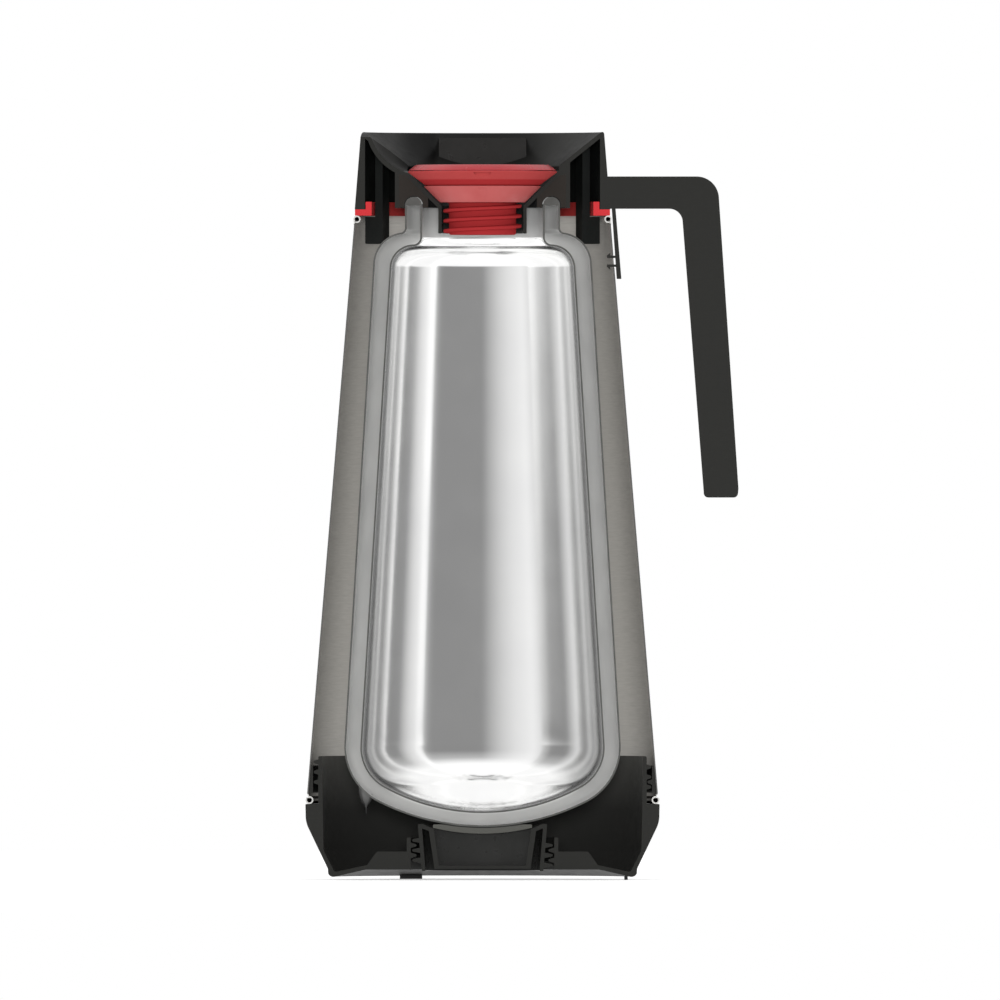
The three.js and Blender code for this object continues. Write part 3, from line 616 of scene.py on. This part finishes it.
# Near-black painted shade for the hidden inside of the rolled hem and bead.
ROLL_PAINTED_SHADE = cut_face("steel_roll_painted_shade", (0.006, 0.006, 0.006))
SILICONE = soft_rubber("red_silicone", (0.36, 0.026, 0.026), (0.44, 0.038, 0.038), 0.4)
SILICONE_CUT = cut_face("red_silicone_cut", (0.45, 0.029, 0.034))
RED = red_plastic()
RED_LID = plain_red("red_plastic_lid", (0.36, 0.026, 0.034), (0.42, 0.038, 0.046))
RED_SEAL = seal_silicone()


CUT_INDEX = 1  # the material slot of a cut face


def finish_piece(shape, name, node, body, material, cut=None, crease=32):
    """Moves a drawn shape into the frame, gives it its materials and lets it ride on its body."""
    mesh = shape.data
    mesh.materials.clear()
    mesh.materials.append(material)
    if cut:
        mesh.materials.append(cut)
    for face in mesh.polygons:
        on_cut = all(abs(mesh.vertices[i].co.y) < 1e-3 for i in face.vertices)
        face.material_index = CUT_INDEX if cut and on_cut else 0
    mesh.transform(INTO_FRAME)
    mesh.shade_smooth()
    mesh.set_sharp_from_angle(angle=math.radians(crease))
    shape.name = name
    mesh.name = name
    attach(shape, body)
    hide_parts(node)
    return shape


def paint(piece, material, chosen):
    """Gives another material to the faces that chosen(r, z, centre, normal) picks, leaving the cut faces."""
    mesh = piece.data
    index = len(mesh.materials)
    mesh.materials.append(material)
    for face in mesh.polygons:
        middle = face.center - AXIS
        if face.material_index == CUT_INDEX:
            continue
        if chosen(middle.xy.length / MM, middle.z / MM, middle / MM, face.normal):
            face.material_index = index


# ---- casing ------------------------------------------------------------------------------------------


def casing_r(z):
    return CASING_TOP_R - SHEET / 2 + (CASING_TOP_Z - z) * TAPER


def make_casing():
    """A cone of thin sheet with its mouth curled into a hem and a rolled bead at its foot."""
    hem_r, hem_z, hem_round = 56.5, 297.35, 1.35
    bead_r, bead_z, bead_round = 77.9, 36.0, 1.45
    neck_z, foot_z = 294.4, 39.2
    levels = [neck_z + (foot_z - neck_z) * i / 12 for i in range(13)]
    path = arc(hem_r, hem_z, hem_round, 302, -25, 30) + [(casing_r(z), z) for z in levels]
    path += arc(bead_r, bead_z, bead_round, 78, 395, 30)
    hole = block((50, 70), (-3.5, 3.5), (275.5, 281.4))
    shape = half(combine(revolve(sheet_outline(path, SHEET)), "DIFFERENCE", hole))
    made = bmesh.new()
    made.from_mesh(shape.data)
    for z in (neck_z + 1, foot_z - 0.7):
        everything = made.verts[:] + made.edges[:] + made.faces[:]
        bmesh.ops.bisect_plane(made, geom=everything, dist=1e-5, plane_co=(0, 0, z), plane_no=(0, 0, 1))
    made.to_mesh(shape.data)
    made.free()
    piece = finish_piece(shape, "casing_sheet", "casing", "shell", STEEL, STEEL_CUT)
    # Inward faces of the wall get the inner finish; above the neck every inward face of the hem gets it, the
    # polished side too, as painted shade.
    paint(piece, STEEL_INSIDE_PAINTED_GLOW, lambda r, z, at, normal: (
        normal.xy.dot(at.xy) < 0 and (abs(normal.z) < 0.3 or z > neck_z)))

    # Painted shade: faces inside the curl of the hem and bead that face its centre turn near-black.
    def in_roll_painted_shade(r, z, at, normal):
        for centre_r, centre_z, size in ((hem_r, hem_z, hem_round), (bead_r, bead_z, bead_round)):
            out = Vector((r - centre_r, z - centre_z))
            facing = Vector((normal.xy.dot(at.xy.normalized()), normal.z))
            if out.length < size and facing.dot(out) < 0:
                return True
        return False

    paint(piece, ROLL_PAINTED_SHADE, in_roll_painted_shade)
    piece.data.materials.append(STEEL_ROLL_CUT)
    for face in piece.data.polygons:
        if face.material_index == CUT_INDEX and not foot_z - 1 < face.center.z / MM < neck_z + 1:
            face.material_index = len(piece.data.materials) - 1


def make_thread_ring():
    outer = [casing_r(z) - SHEET / 2 - 0.3 for z in (39.2, 51.5)]
    ring = revolve([(76.3, 39.2), (outer[0], 39.2), (outer[1], 51.5), (76.3, 51.5)])
    ridge = thread(76.5, 74.3, BASE_THREAD_Z + PITCH / 2, **RING_THREAD)
    shape = half(combine(ring, "UNION", ridge))
    finish_piece(shape, "casing_thread", "casing_thread_ring", "shell", BLACK, BLACK_CUT)


# ---- base --------------------------------------------------------------------------------------------


def make_base():
    """The bowl, its threaded neck, the threaded boss in its floor and the ribs between them."""
    outer, ledge, neck, floor = BOWL["outer"], BOWL["ledge"], BOWL["neck"], BOWL["floor"]
    bowl = revolve([
        (BOWL["inner"], BOWL["top"]), (neck - 0.5, BOWL["top"]), (neck - 0.15, BOWL["top"] - 0.15),
        (neck, BOWL["top"] - 0.6), (neck, ledge + 0.2), (neck + 0.2, ledge), (outer - 0.4, ledge),
        (outer - 0.1, ledge - 0.1), (outer, ledge - 0.5), (outer - 0.05, 31.5),
        *arc(outer - 13.2, 29.0, 13.1, 2, -24, 8), (69.6, 5.1), *arc(67.1, 4.0, 2.6, -25, -90, 8),
        (66.1, 1.5), (65.6, 1.7), (52.9, 4.6), (52.4, floor),
        (BOSS["inner"], floor), (BOSS["inner"], BOSS["top"] - 0.2), (BOSS["inner"] + 0.2, BOSS["top"]),
        (BOSS["outer"] - 0.3, BOSS["top"]), (BOSS["outer"], BOSS["top"] - 0.3), (BOSS["outer"], floor + 2.6),
        (BOSS["outer"] + 0.6, floor + 2), (51.4, floor + 2), (52.6, floor + 1.9),
        (65.6, 3.75), *arc(65.9, 4.9, 1.2, -100, -28, 4), (71.2, 12.6), (71.55, 14.0),
    ])
    neck_ridge = thread(neck - 0.3, 75.9, BASE_THREAD_Z, **NECK_THREAD)
    boss_ridge = thread(BOSS["inner"] + 0.3, BOSS["crest"], CAP_THREAD_Z + PITCH / 2, **BOSS_THREAD)
    outline = rounded([(33.6, 5.7), (52.0, 5.7), (52.0, 6.7), (47.6, 12.8), (33.6, 12.8)], 0.8)
    ribs = []
    for i in range(6):
        rib = prism(outline, -1.25, 1.25)
        rib.data.transform(Matrix.Rotation(math.radians(60 * i), 4, "Z"))
        ribs.append(rib)
    shape = half(combine(bowl, "UNION", neck_ridge, boss_ridge, *ribs))
    piece = finish_piece(shape, "base_bowl", "base", "base", BLACK, BLACK_CUT)
    # Painted shade: the bowl's inner faces darken from the rim down.
    paint(piece, BLACK_BOWL_PAINTED_SHADE, lambda r, z, at, normal: r < 72.6 and z > 3.5 and normal.z > -0.5)
    # Painted light: the downward faces under the bowl take the paler copy.
    paint(piece, BLACK_UNDER_PAINTED_LIGHT, lambda r, z, at, normal: z < 5 and r < 67 and normal.z < -0.5)


def make_feet():
    """Curved rubber strips under the foot ring, with softened edges."""
    for i, angle in enumerate((0, 120)):
        strip = revolve(rounded([(64.05, 0), (65.35, 0), (65.35, 1.9), (64.05, 1.9)], 0.3))
        strip = combine(strip, "INTERSECT", wedge(angle, math.degrees(11 / 64.7)))
        name = f"foot_{i + 1}"
        finish_piece(half(strip), f"{name}_strip", name, "base", RUBBER, RUBBER)


def dish_z(r):
    return DISH["low"] + DISH["radius"] - math.sqrt(DISH["radius"] ** 2 - r ** 2)


def dish_outline():
    radii = [DISH["edge"] * (1 - i / 16) for i in range(17)]
    return [(r, dish_z(r)) for r in radii]


def make_support_cap():
    """The screw plug under the flask: a dished top, a threaded skirt and a hollow grip bar below."""
    under_r = CAP["rim"] - CAP["wall"]
    shell = revolve([
        (0, DISH["low"] - DISH["plate"]), (DISH["edge"] - 0.5, dish_z(DISH["edge"]) - DISH["plate"]),
        (under_r - 0.2, CAP["top"] - DISH["plate"]), (CAP["foot"] - CAP["wall"], CAP["bottom"] + 0.3),
        (CAP["foot"] - CAP["wall"] + 0.3, CAP["bottom"]), (CAP["foot"] - 0.3, CAP["bottom"]),
        (CAP["foot"], CAP["bottom"] + 0.3), (CAP["rim"], CAP["top"] - 0.5),
        (CAP["rim"] - 0.2, CAP["top"] - 0.1), (CAP["rim"] - 0.6, CAP["top"]),
        (under_r - 0.1, CAP["top"]), *dish_outline(),
    ])
    under_dish = revolve([(0, 0), (under_r, 0), (under_r, CAP["top"] - 0.4), *dish_outline()])
    bar = combine(tapered_block((24.6, 8), (21.6, 7.2), 5.0, CAP["top"]), "INTERSECT", under_dish)
    hollow = tapered_block((22.5, 5.9), (19.5, 5.1), 6.4, CAP["top"] + 2)
    ridge = thread(CAP["foot"] - 0.6, CAP["crest"], CAP_THREAD_Z, **CAP_THREAD)
    shape = combine(combine(shell, "UNION", bar), "DIFFERENCE", hollow)
    shape = half(combine(shape, "UNION", ridge))
    finish_piece(shape, "support_cap_plug", "support_cap", "cap", BLACK, BLACK_CUT)


def make_cushion():
    """The soft lens-shaped pad in the plug's dish."""
    edge = 22.3

    def top(r):
        return min(23.4 + r ** 2 / (2 * OUTER_BOTTLE["bowl"][1]), 25.0)

    lower = [(edge * i / 12, dish_z(edge * i / 12) + 0.35) for i in range(13)]
    upper = [(edge * i / 12, top(edge * i / 12)) for i in range(11, -1, -1)]
    edge_round = [(edge, top(edge) - 0.5), (edge - 0.15, top(edge) - 0.15), (edge - 0.5, top(edge))]
    shape = half(revolve(lower + edge_round + upper))
    piece = finish_piece(shape, "cushion_pad", "flask_cushion", "cushion", CUSHION, CUSHION_CUT)


# ---- vacuum flask ------------------------------------------------------------------------------------


def bottle_outline(bottle, grow):
    """One face of a bottle, from the axis at its bottom to the top of its neck."""
    bowl_z, bowl_radius = bottle["bowl"]
    corner_r, corner_radius = bottle["corner"]
    shoulder_r, shoulder_z, shoulder_radius = bottle["shoulder"]
    reach = bowl_radius - corner_radius
    corner_z = bowl_z - math.sqrt(reach ** 2 - corner_r ** 2)
    meet = math.degrees(math.atan2(corner_z - bowl_z, corner_r))
    fillet_r = bottle["neck"] + bottle["fillet"]
    span = shoulder_radius + bottle["fillet"]
    fillet_z = shoulder_z + math.sqrt(span ** 2 - (fillet_r - shoulder_r) ** 2)
    lean = math.degrees(math.atan2(fillet_z - shoulder_z, fillet_r - shoulder_r))
    return [
        *arc(0, bowl_z, bowl_radius + grow, -90, meet, 24),
        *arc(corner_r, corner_z, corner_radius + grow, meet, WALL_LEAN, 28)[1:],
        *arc(shoulder_r, shoulder_z, shoulder_radius + grow, WALL_LEAN, lean, 28),
        *arc(fillet_r, fillet_z, bottle["fillet"] - grow, lean + 180, 180, 10)[1:],
        (bottle["neck"] + grow, FLASK_RIM_Z),
    ]


def make_flask():
    """Two silvered bottles fused at a half-round rim, and the sealed tip of the pumping tube."""
    rim_r = (OUTER_BOTTLE["neck"] + INNER_BOTTLE["neck"]) / 2
    rim_round = (OUTER_BOTTLE["neck"] - INNER_BOTTLE["neck"]) / 2

    def skin(grow, rim=()):
        return [*bottle_outline(OUTER_BOTTLE, -grow), *rim, *bottle_outline(INNER_BOTTLE, grow)[::-1]]

    tip = revolve([(0, 29.6), (0.3, 29.7), (0.45, 30.5), (0.6, 32.0), (0.85, 33.0), (1.35, 33.9), (2.0, 34.9),
                   (2.5, 35.9), (3.0, 37.6), (3.3, 39.2), (3.45, 41.0), (3.45, 44), (0, 44)], 48)
    side = math.radians(170)
    tip.data.transform(Matrix.Translation((53.2 * math.cos(side), 53.2 * math.sin(side), 0)))
    gap = revolve(skin(GLASS))
    gap_faces = surface_of(gap)
    tip_faces = surface_of(tip)
    shape = combine(revolve(skin(0, arc(rim_r, FLASK_RIM_Z, rim_round, 0, 180, 20)[1:-1])), "UNION", tip)
    shape = half(combine(shape, "DIFFERENCE", gap))
    piece = finish_piece(shape, "flask_glass", "vacuum_flask", "flask", SILVER, GLASS_CUT)
    # Painted shade: the gap's faces and the inner neck's wall above z 290.5 take the greyer, glowing copy of
    # the silver.
    paint(piece, SILVER_GAP_SHADE_AND_GLOW, lambda r, z, at, normal: gap_faces.find_nearest(at)[3] < GLASS / 4)
    paint(piece, SILVER_GAP_SHADE_AND_GLOW, lambda r, z, at, normal: r < INNER_BOTTLE["neck"] + 0.1 and z > 290.5)
    paint(piece, TIP, lambda r, z, at, normal: z < 44 and tip_faces.find_nearest(at)[3] < 0.02)


# ---- head --------------------------------------------------------------------------------------------


def head_shell():
    """The turned parts of the head: wall, funnel, the stopper's seat and sleeve, and the gasket's skirt."""
    under = SEAT_WALL
    skirt_outer = SKIRT_R + SKIRT_WALL

    def outer(z):
        return CASING_TOP_R + (HEAD_BOTTOM_Z - z) * TAPER

    return revolve([
        (outer(HEAD_BOTTOM_Z) - 0.1, HEAD_BOTTOM_Z), (outer(335.8), 335.8),
        *arc(outer(RIM_Z) - 0.75, 335.85, 0.75, 5, 90, 5),
        (FUNNEL_TOP[0] + 0.9, RIM_Z), (FUNNEL_TOP[0] + 0.35, RIM_Z - 0.1), FUNNEL_TOP, FUNNEL_BOTTOM,
        (SEAT_TOP_R, FUNNEL_BOTTOM[1] - 0.7), (SEAT_TOP_R, seat_z(SEAT_TOP_R)), (18.4, seat_z(18.4)),
        (18.4, 291.1), (18.6, 290.9), (19.7, 290.9), (19.9, 291.1), (19.9, seat_z(19.9) - under),
        (34.6, seat_z(34.6) - under), (SKIRT_R, 317.6), (SKIRT_R, 302.4), (skirt_outer, 302.4),
        (skirt_outer, funnel_z(skirt_outer) - under), (HEAD_WALL_R, funnel_z(HEAD_WALL_R) - under),
        (HEAD_WALL_R, HEAD_BOTTOM_Z),
    ])


def trough(radius):
    """The pouring trough as a solid: a U-shaped section turned about the bend above it."""
    made = bmesh.new()
    middle = BEND_RADIUS - TROUGH_R
    section = [(middle + radius * math.cos(math.radians(b)), radius * math.sin(math.radians(b)))
               for b in range(-90, 91, 6)]
    section += [(0.5, radius), (0.5, -radius)]
    rings = []
    for i in range(25):
        a = math.radians(-8 - 88 * i / 24)
        rings.append([made.verts.new((-BEND_R - p * math.cos(a), y, BEND_Z + p * math.sin(a)))
                      for p, y in section])
    made.faces.new(rings[0])
    made.faces.new(rings[-1])
    for low, high in zip(rings, rings[1:]):
        for i in range(len(section)):
            k = (i + 1) % len(section)
            made.faces.new([low[i], low[k], high[k], high[i]])
    return solid(made)


def lip_notch():
    """The level notch in the rim that the trough leaves by."""
    outline = [(TROUGH_R * math.cos(math.radians(a)), LIP_Z + TROUGH_R + TROUGH_R * math.sin(math.radians(a)))
               for a in range(180, 361, 5)]
    return prism(outline, -72.9, -48.9, along="x")


def lug(angle):
    """A guide that hangs inside the casing's mouth, flared under the seal ring."""
    profile = revolve([
        (46, funnel_z(46) - 1.25), (46, 288.3), (46.15, 287.3), (46.7, 286.6), (48, 286.3), (53.7, 286.3),
        (54, 286.6), (54, 298.3), (53.8, 298.5), (49.4, 298.5), (49.4, funnel_z(49.4) - 1.25),
    ])
    return combine(profile, "INTERSECT", wedge(angle, 12))


def handle_bar():
    """The bent grip, with its outer edges rounded."""
    outline = [
        (55.6, 316.6), *arc(96.4, 306.6, 10, 90, 4, 16), (115.2, 176.1), *arc(113.0, 174.1, 2, -4, -90, 6),
        *arc(101.6, 174.1, 2, -90, -184, 6), *arc(84.1, 296.1, 6, 4, 90, 10), (55.6, 302.1),
    ]
    bar = prism(outline, -12.5, 12.5)
    made = bmesh.new()
    made.from_mesh(bar.data)
    sides = [edge for edge in made.edges if abs(edge.verts[0].co.y - edge.verts[1].co.y) < 1e-6]
    bmesh.ops.bevel(made, geom=sides, offset=1.9, segments=5, affect="EDGES", profile=0.5, clamp_overlap=True)
    made.to_mesh(bar.data)
    made.free()
    return bar


def clip_pieces():
    """The tab that hangs from the handle's root and the two barbed prongs that hold it to the casing."""
    outline = [(58.1, 303.1), (59.8, 303.1), (62.5, 270.7), (62.3, 270.5), (60.6, 270.5), (60.4, 270.7)]
    tab = prism(outline, -8, 8)
    prongs = []
    for near, far, barb in ((279.9, 281.0, 282.3), (277.0, 275.9, 274.6)):
        outline = [(60.9, near), (60.9, far), (57.5, far), (57.5, barb), (56.0, far), (56.0, near)]
        prongs.append(prism(outline, -3, 3))
    return [tab, *prongs]


def make_head():
    """The black moulding: shell, back panel, trough, guide lugs, sleeve lug, handle and clip in one."""
    skirt_outer = SKIRT_R + SKIRT_WALL
    under_funnel = revolve([
        (SEAT_TOP_R + 0.1, 317.7), (skirt_outer, 317.7), (skirt_outer, 313.5), (HEAD_WALL_R + 1, 313.5),
        (HEAD_WALL_R + 1, RIM_Z - 0.2), FUNNEL_TOP, FUNNEL_BOTTOM, (SEAT_TOP_R + 0.1, FUNNEL_BOTTOM[1] - 0.7),
    ])
    panel_room = revolve([
        (SEAT_TOP_R, FUNNEL_BOTTOM[1] - 3), (HEAD_WALL_R + 1, funnel_z(HEAD_WALL_R + 1) - 2),
        (HEAD_WALL_R + 1, RIM_Z), (SEAT_TOP_R, RIM_Z),
    ])
    panel = combine(block((-19.7, 19.7), (34.7, 57.6), (316.9, 334.3)), "INTERSECT", panel_room)
    trough_shell = combine(trough(TROUGH_R + TROUGH_WALL), "INTERSECT", under_funnel)
    shape = combine(head_shell(), "UNION", panel, trough_shell)
    shape = combine(shape, "DIFFERENCE", trough(TROUGH_R), lip_notch())
    sleeve_lug = thread(18.7, 16.2, STOPPER_THREAD_Z + PITCH / 2, **SLEEVE_LUG)
    lugs = [lug(angle) for angle in (18, 90, 162)]
    shape = half(combine(shape, "UNION", *lugs, sleeve_lug, handle_bar(), *clip_pieces()))
    piece = finish_piece(shape, "head_moulding", "head", "shell", BLACK, BLACK_CUT)
    # Painted shade and reflection: the funnel's faces take the graded black.
    paint(piece, BLACK_FUNNEL_SHADE_AND_REFLECTION, lambda r, z, at, normal: r < 53.5 and z > 319 and abs(normal.y) < 0.95)

    def in_trough(at):
        close = 0.05
        return abs(at.y) < TROUGH_R + close and math.hypot(at.x + BEND_R, at.z - BEND_Z) < BEND_RADIUS + close

    # Painted shade: the hollow between the skirt and the head's wall, under the funnel, turns near-black.
    paint(piece, BLACK_PAINTED_SHADE, lambda r, z, at, normal: (
        SKIRT_R + 1 < r < 54.1 and z < funnel_z(r) - 1 and normal.z < 0.5 and not in_trough(at)))


def make_seal_ring():
    top = HEAD_BOTTOM_Z - 0.02
    shape = half(revolve(rounded([(49.9, 299.0), (57.4, 299.0), (57.4, top), (52.6, top), (52.6, 305.2),
                                  (49.9, 305.2)], 0.25)))
    finish_piece(shape, "seal_ring", "head_seal_ring", "shell", SILICONE, SILICONE_CUT)


def make_gasket():
    """The soft block that fills the room between the head and the flask's rim, a hair clear of the head."""
    hair = 0.02
    clear = 0.4
    under = SEAT_WALL + hair
    skirt = SKIRT_R - hair
    groove_r = (OUTER_BOTTLE["neck"] + INNER_BOTTLE["neck"]) / 2
    groove = (OUTER_BOTTLE["neck"] - INNER_BOTTLE["neck"]) / 2 + clear
    shape = half(revolve([
        (24.5, 302.6), (24.5, seat_z(24.5) - under), (34.6, seat_z(34.6) - under), (skirt, 317.6 - hair),
        (skirt, 302.6), (groove_r + groove, 302.6), *arc(groove_r, FLASK_RIM_Z, groove, 0, 180, 20),
        (groove_r - groove, 302.6),
    ]))
    finish_piece(shape, "gasket_block", "rim_gasket", "shell", RUBBER, RUBBER_CUT)


# ---- stopper -----------------------------------------------------------------------------------------


def make_stopper():
    """The whole red stopper: threaded neck, cone, flange with a pry notch, and the bar in its hollow top."""
    flange, flange_z = 33.5, 318.9
    body = revolve([
        (0, 290.3), (14.2, 290.3), (14.8, 290.5), (15.1, 291.0), (15.1, 304.6), (17.1, 305.1),
        (23.9, LEDGE_Z - 0.15), (24.3, LEDGE_Z), (25.2, LEDGE_Z), (25.5, LEDGE_Z + 0.15),
        (flange, flange_z - 0.5), (flange, flange_z),
        (25.5, flange_z), (21.5, 314.3), (13.0, 309.3), (11.0, 293.6), (10.7, 293.3), (0, 293.3),
    ])
    room = revolve([(0, 309.3), (13.0, 309.3), (22.5, 314.3), (26.5, flange_z), (0, flange_z)])
    bar = combine(block((-24.5, 24.5), (-3, 3), (310.3, flange_z)), "INTERSECT", room)
    ridge = thread(14.8, 17.6, STOPPER_THREAD_Z, **STOPPER_THREAD)
    notch = prism([(-4.1, 318.2), (4.1, 318.2), (2.4, 315.9), (-2.4, 315.9)], -flange - 1, -flange + 2.4)
    shape = combine(combine(body, "UNION", bar, ridge), "DIFFERENCE", notch)
    piece = finish_piece(shape, "stopper_body", "stopper", "stopper", RED)
    piece.visible_glossy = False


def make_stopper_lid():
    """The bevelled ring on the flange."""
    shape = revolve([(25.5, 319.2), (33.0, 319.2), (33.1, 319.35), (32.9, 319.6), (30.1, 321.65),
                     (29.7, 321.8), (26.8, 321.8), (26.5, 321.6)])
    piece = finish_piece(shape, "stopper_lid_ring", "stopper_lid", "stopper", RED_LID)
    piece.visible_glossy = False


def make_stopper_seal():
    """The soft cone under the flange, with a low rib on its front and back."""
    def outer_z(r):
        return LEDGE_Z - 0.6 - (26.0 - r)

    shape = revolve(rounded([(24.2, LEDGE_Z - 0.05), (26.3, LEDGE_Z - 0.05), (26.3, outer_z(26.3)),
                             (19.2, outer_z(19.2)), (17.4, outer_z(19.2) + 0.3)], 0.15))
    ribs = []
    for angle in (90, 270):
        strip = revolve([(19.4, outer_z(19.2) + 0.6), (25.4, outer_z(25.4) + 0.4), (25.7, outer_z(25.4)),
                         (19.6, outer_z(19.2) + 0.1)])
        ribs.append(combine(strip, "INTERSECT", wedge(angle, 7.2)))
    shape = combine(shape, "UNION", *ribs)
    piece = finish_piece(shape, "stopper_seal_cone", "stopper_seal", "stopper_seal", RED_SEAL)
    piece.visible_glossy = False


# ---- stage -------------------------------------------------------------------------------------------

VIEW_WIDTH = 0.450  # metres across the picture at the cut face
VIEW_ASIDE = 0.007875  # metres from the axis to the middle of the picture
VIEW_Z = 0.171
LENS = 1500.0
SENSOR = 36.0


def make_camera():
    data = bpy.data.cameras.new("camera")
    data.lens = LENS
    data.sensor_width = SENSOR
    distance = VIEW_WIDTH * LENS / SENSOR
    data.clip_end = distance + 10
    camera = bpy.data.objects.new("camera", data)
    camera.location = (AXIS.x + VIEW_ASIDE, AXIS.y - distance, VIEW_Z)
    camera.rotation_euler = (math.radians(90), 0, 0)
    bpy.context.scene.collection.objects.link(camera)
    bpy.context.scene.camera = camera


def make_floor():
    """A plain pale floor, lit from within enough to stay as white as the studio round it."""
    made = bmesh.new()
    bmesh.ops.create_grid(made, x_segments=1, y_segments=1, size=1.5)
    floor = solid(made, "floor")
    paint = Nodes("floor_paint")
    paint.set(Base_Color=(0.8, 0.8, 0.8, 1), Roughness=0.9)
    paint.set(Emission_Color=(1, 1, 1, 1), Emission_Strength=0.45)
    floor.data.materials.append(paint.material)
    floor.visible_glossy = False


# brightness of the studio round the horizon, by angle from behind the camera: left is positive
HORIZON = [(-180, 0.3), (-150, 0.3), (-125, 0.8), (-100, 0.8), (-75, 0.75), (-62, 0.55), (-55, 0.31),
           (-50, 0.262), (-1, 0.262), (3, 0.32), (8, 0.42), (14, 0.52), (20, 0.617), (32, 0.76), (50, 0.885),
           (57, 0.8), (66, 0.5), (90, 0.5), (110, 0.8), (125, 0.8), (150, 0.3), (180, 0.3)]
# how far the horizon gives way to white, by the rise of a direction from -1, straight down, to 1, straight up
WHITENESS = [(-1.0, 1.0), (-0.26, 1.0), (-0.19, 0.0), (0.17, 0.0), (0.47, 0.3), (0.69, 1.0), (1.0, 1.0)]


def make_studio():
    """A white studio whose horizon is grey behind the camera and brightens towards the left."""
    world = bpy.data.worlds.new("studio")
    bpy.context.scene.world = world
    world.use_nodes = True
    tree = world.node_tree
    tree.nodes.clear()

    def node(kind, **settings):
        made = tree.nodes.new(kind)
        for key, value in settings.items():
            setattr(made, key, value)
        return made

    direction = node("ShaderNodeSeparateXYZ")
    tree.links.new(node("ShaderNodeTexCoord").outputs["Generated"], direction.inputs[0])
    turned = []
    for name in ("X", "Y"):
        flip = node("ShaderNodeMath", operation="MULTIPLY")
        flip.inputs[1].default_value = -1
        tree.links.new(direction.outputs[name], flip.inputs[0])
        turned.append(flip.outputs[0])
    azimuth = node("ShaderNodeMath", operation="ARCTAN2")
    tree.links.new(turned[0], azimuth.inputs[0])
    tree.links.new(turned[1], azimuth.inputs[1])
    place = node("ShaderNodeMapRange")
    place.inputs["From Min"].default_value = -math.pi
    place.inputs["From Max"].default_value = math.pi
    tree.links.new(azimuth.outputs[0], place.inputs["Value"])
    around_stops = greys([((angle + 180) / 360, level) for angle, level in HORIZON])
    ramp = fill_ramp(node("ShaderNodeValToRGB"), around_stops)
    tree.links.new(place.outputs[0], ramp.inputs["Fac"])
    height_stops = greys([((rise + 1) / 2, level) for rise, level in WHITENESS])
    height = fill_ramp(node("ShaderNodeValToRGB"), height_stops)
    lift = node("ShaderNodeMapRange")
    lift.inputs["From Min"].default_value = -1
    lift.inputs["From Max"].default_value = 1
    tree.links.new(direction.outputs["Z"], lift.inputs["Value"])
    tree.links.new(lift.outputs[0], height.inputs["Fac"])
    around = node("ShaderNodeMixRGB")
    around.inputs["Color2"].default_value = (1.05, 1.05, 1.05, 1)
    tree.links.new(height.outputs["Color"], around.inputs["Fac"])
    tree.links.new(ramp.outputs["Color"], around.inputs["Color1"])
    shown = node("ShaderNodeMixRGB")
    shown.inputs["Color2"].default_value = (1, 1, 1, 1)
    tree.links.new(node("ShaderNodeLightPath").outputs["Is Camera Ray"], shown.inputs["Fac"])
    tree.links.new(around.outputs["Color"], shown.inputs["Color1"])
    background = node("ShaderNodeBackground")
    tree.links.new(shown.outputs["Color"], background.inputs["Color"])
    tree.links.new(background.outputs[0], node("ShaderNodeOutputWorld").inputs["Surface"])


def make_softbox():
    """A soft light from the front that reaches into the hollows, but isn't mirrored in the silvering."""
    data = bpy.data.lights.new("softbox", "SUN")
    data.energy = 1.8
    data.angle = math.radians(12)
    lamp = bpy.data.objects.new("softbox", data)
    lamp.rotation_euler = (math.radians(87), 0, 0)
    lamp.visible_glossy = False
    bpy.context.scene.collection.objects.link(lamp)


make_camera()
make_floor()
make_studio()
make_softbox()
make_casing()
make_thread_ring()
make_base()
make_feet()
make_support_cap()
make_cushion()
make_flask()
make_head()
make_seal_ring()
make_gasket()
make_stopper()
make_stopper_lid()
make_stopper_seal()
bpy.context.scene.view_settings.view_transform = "Standard"
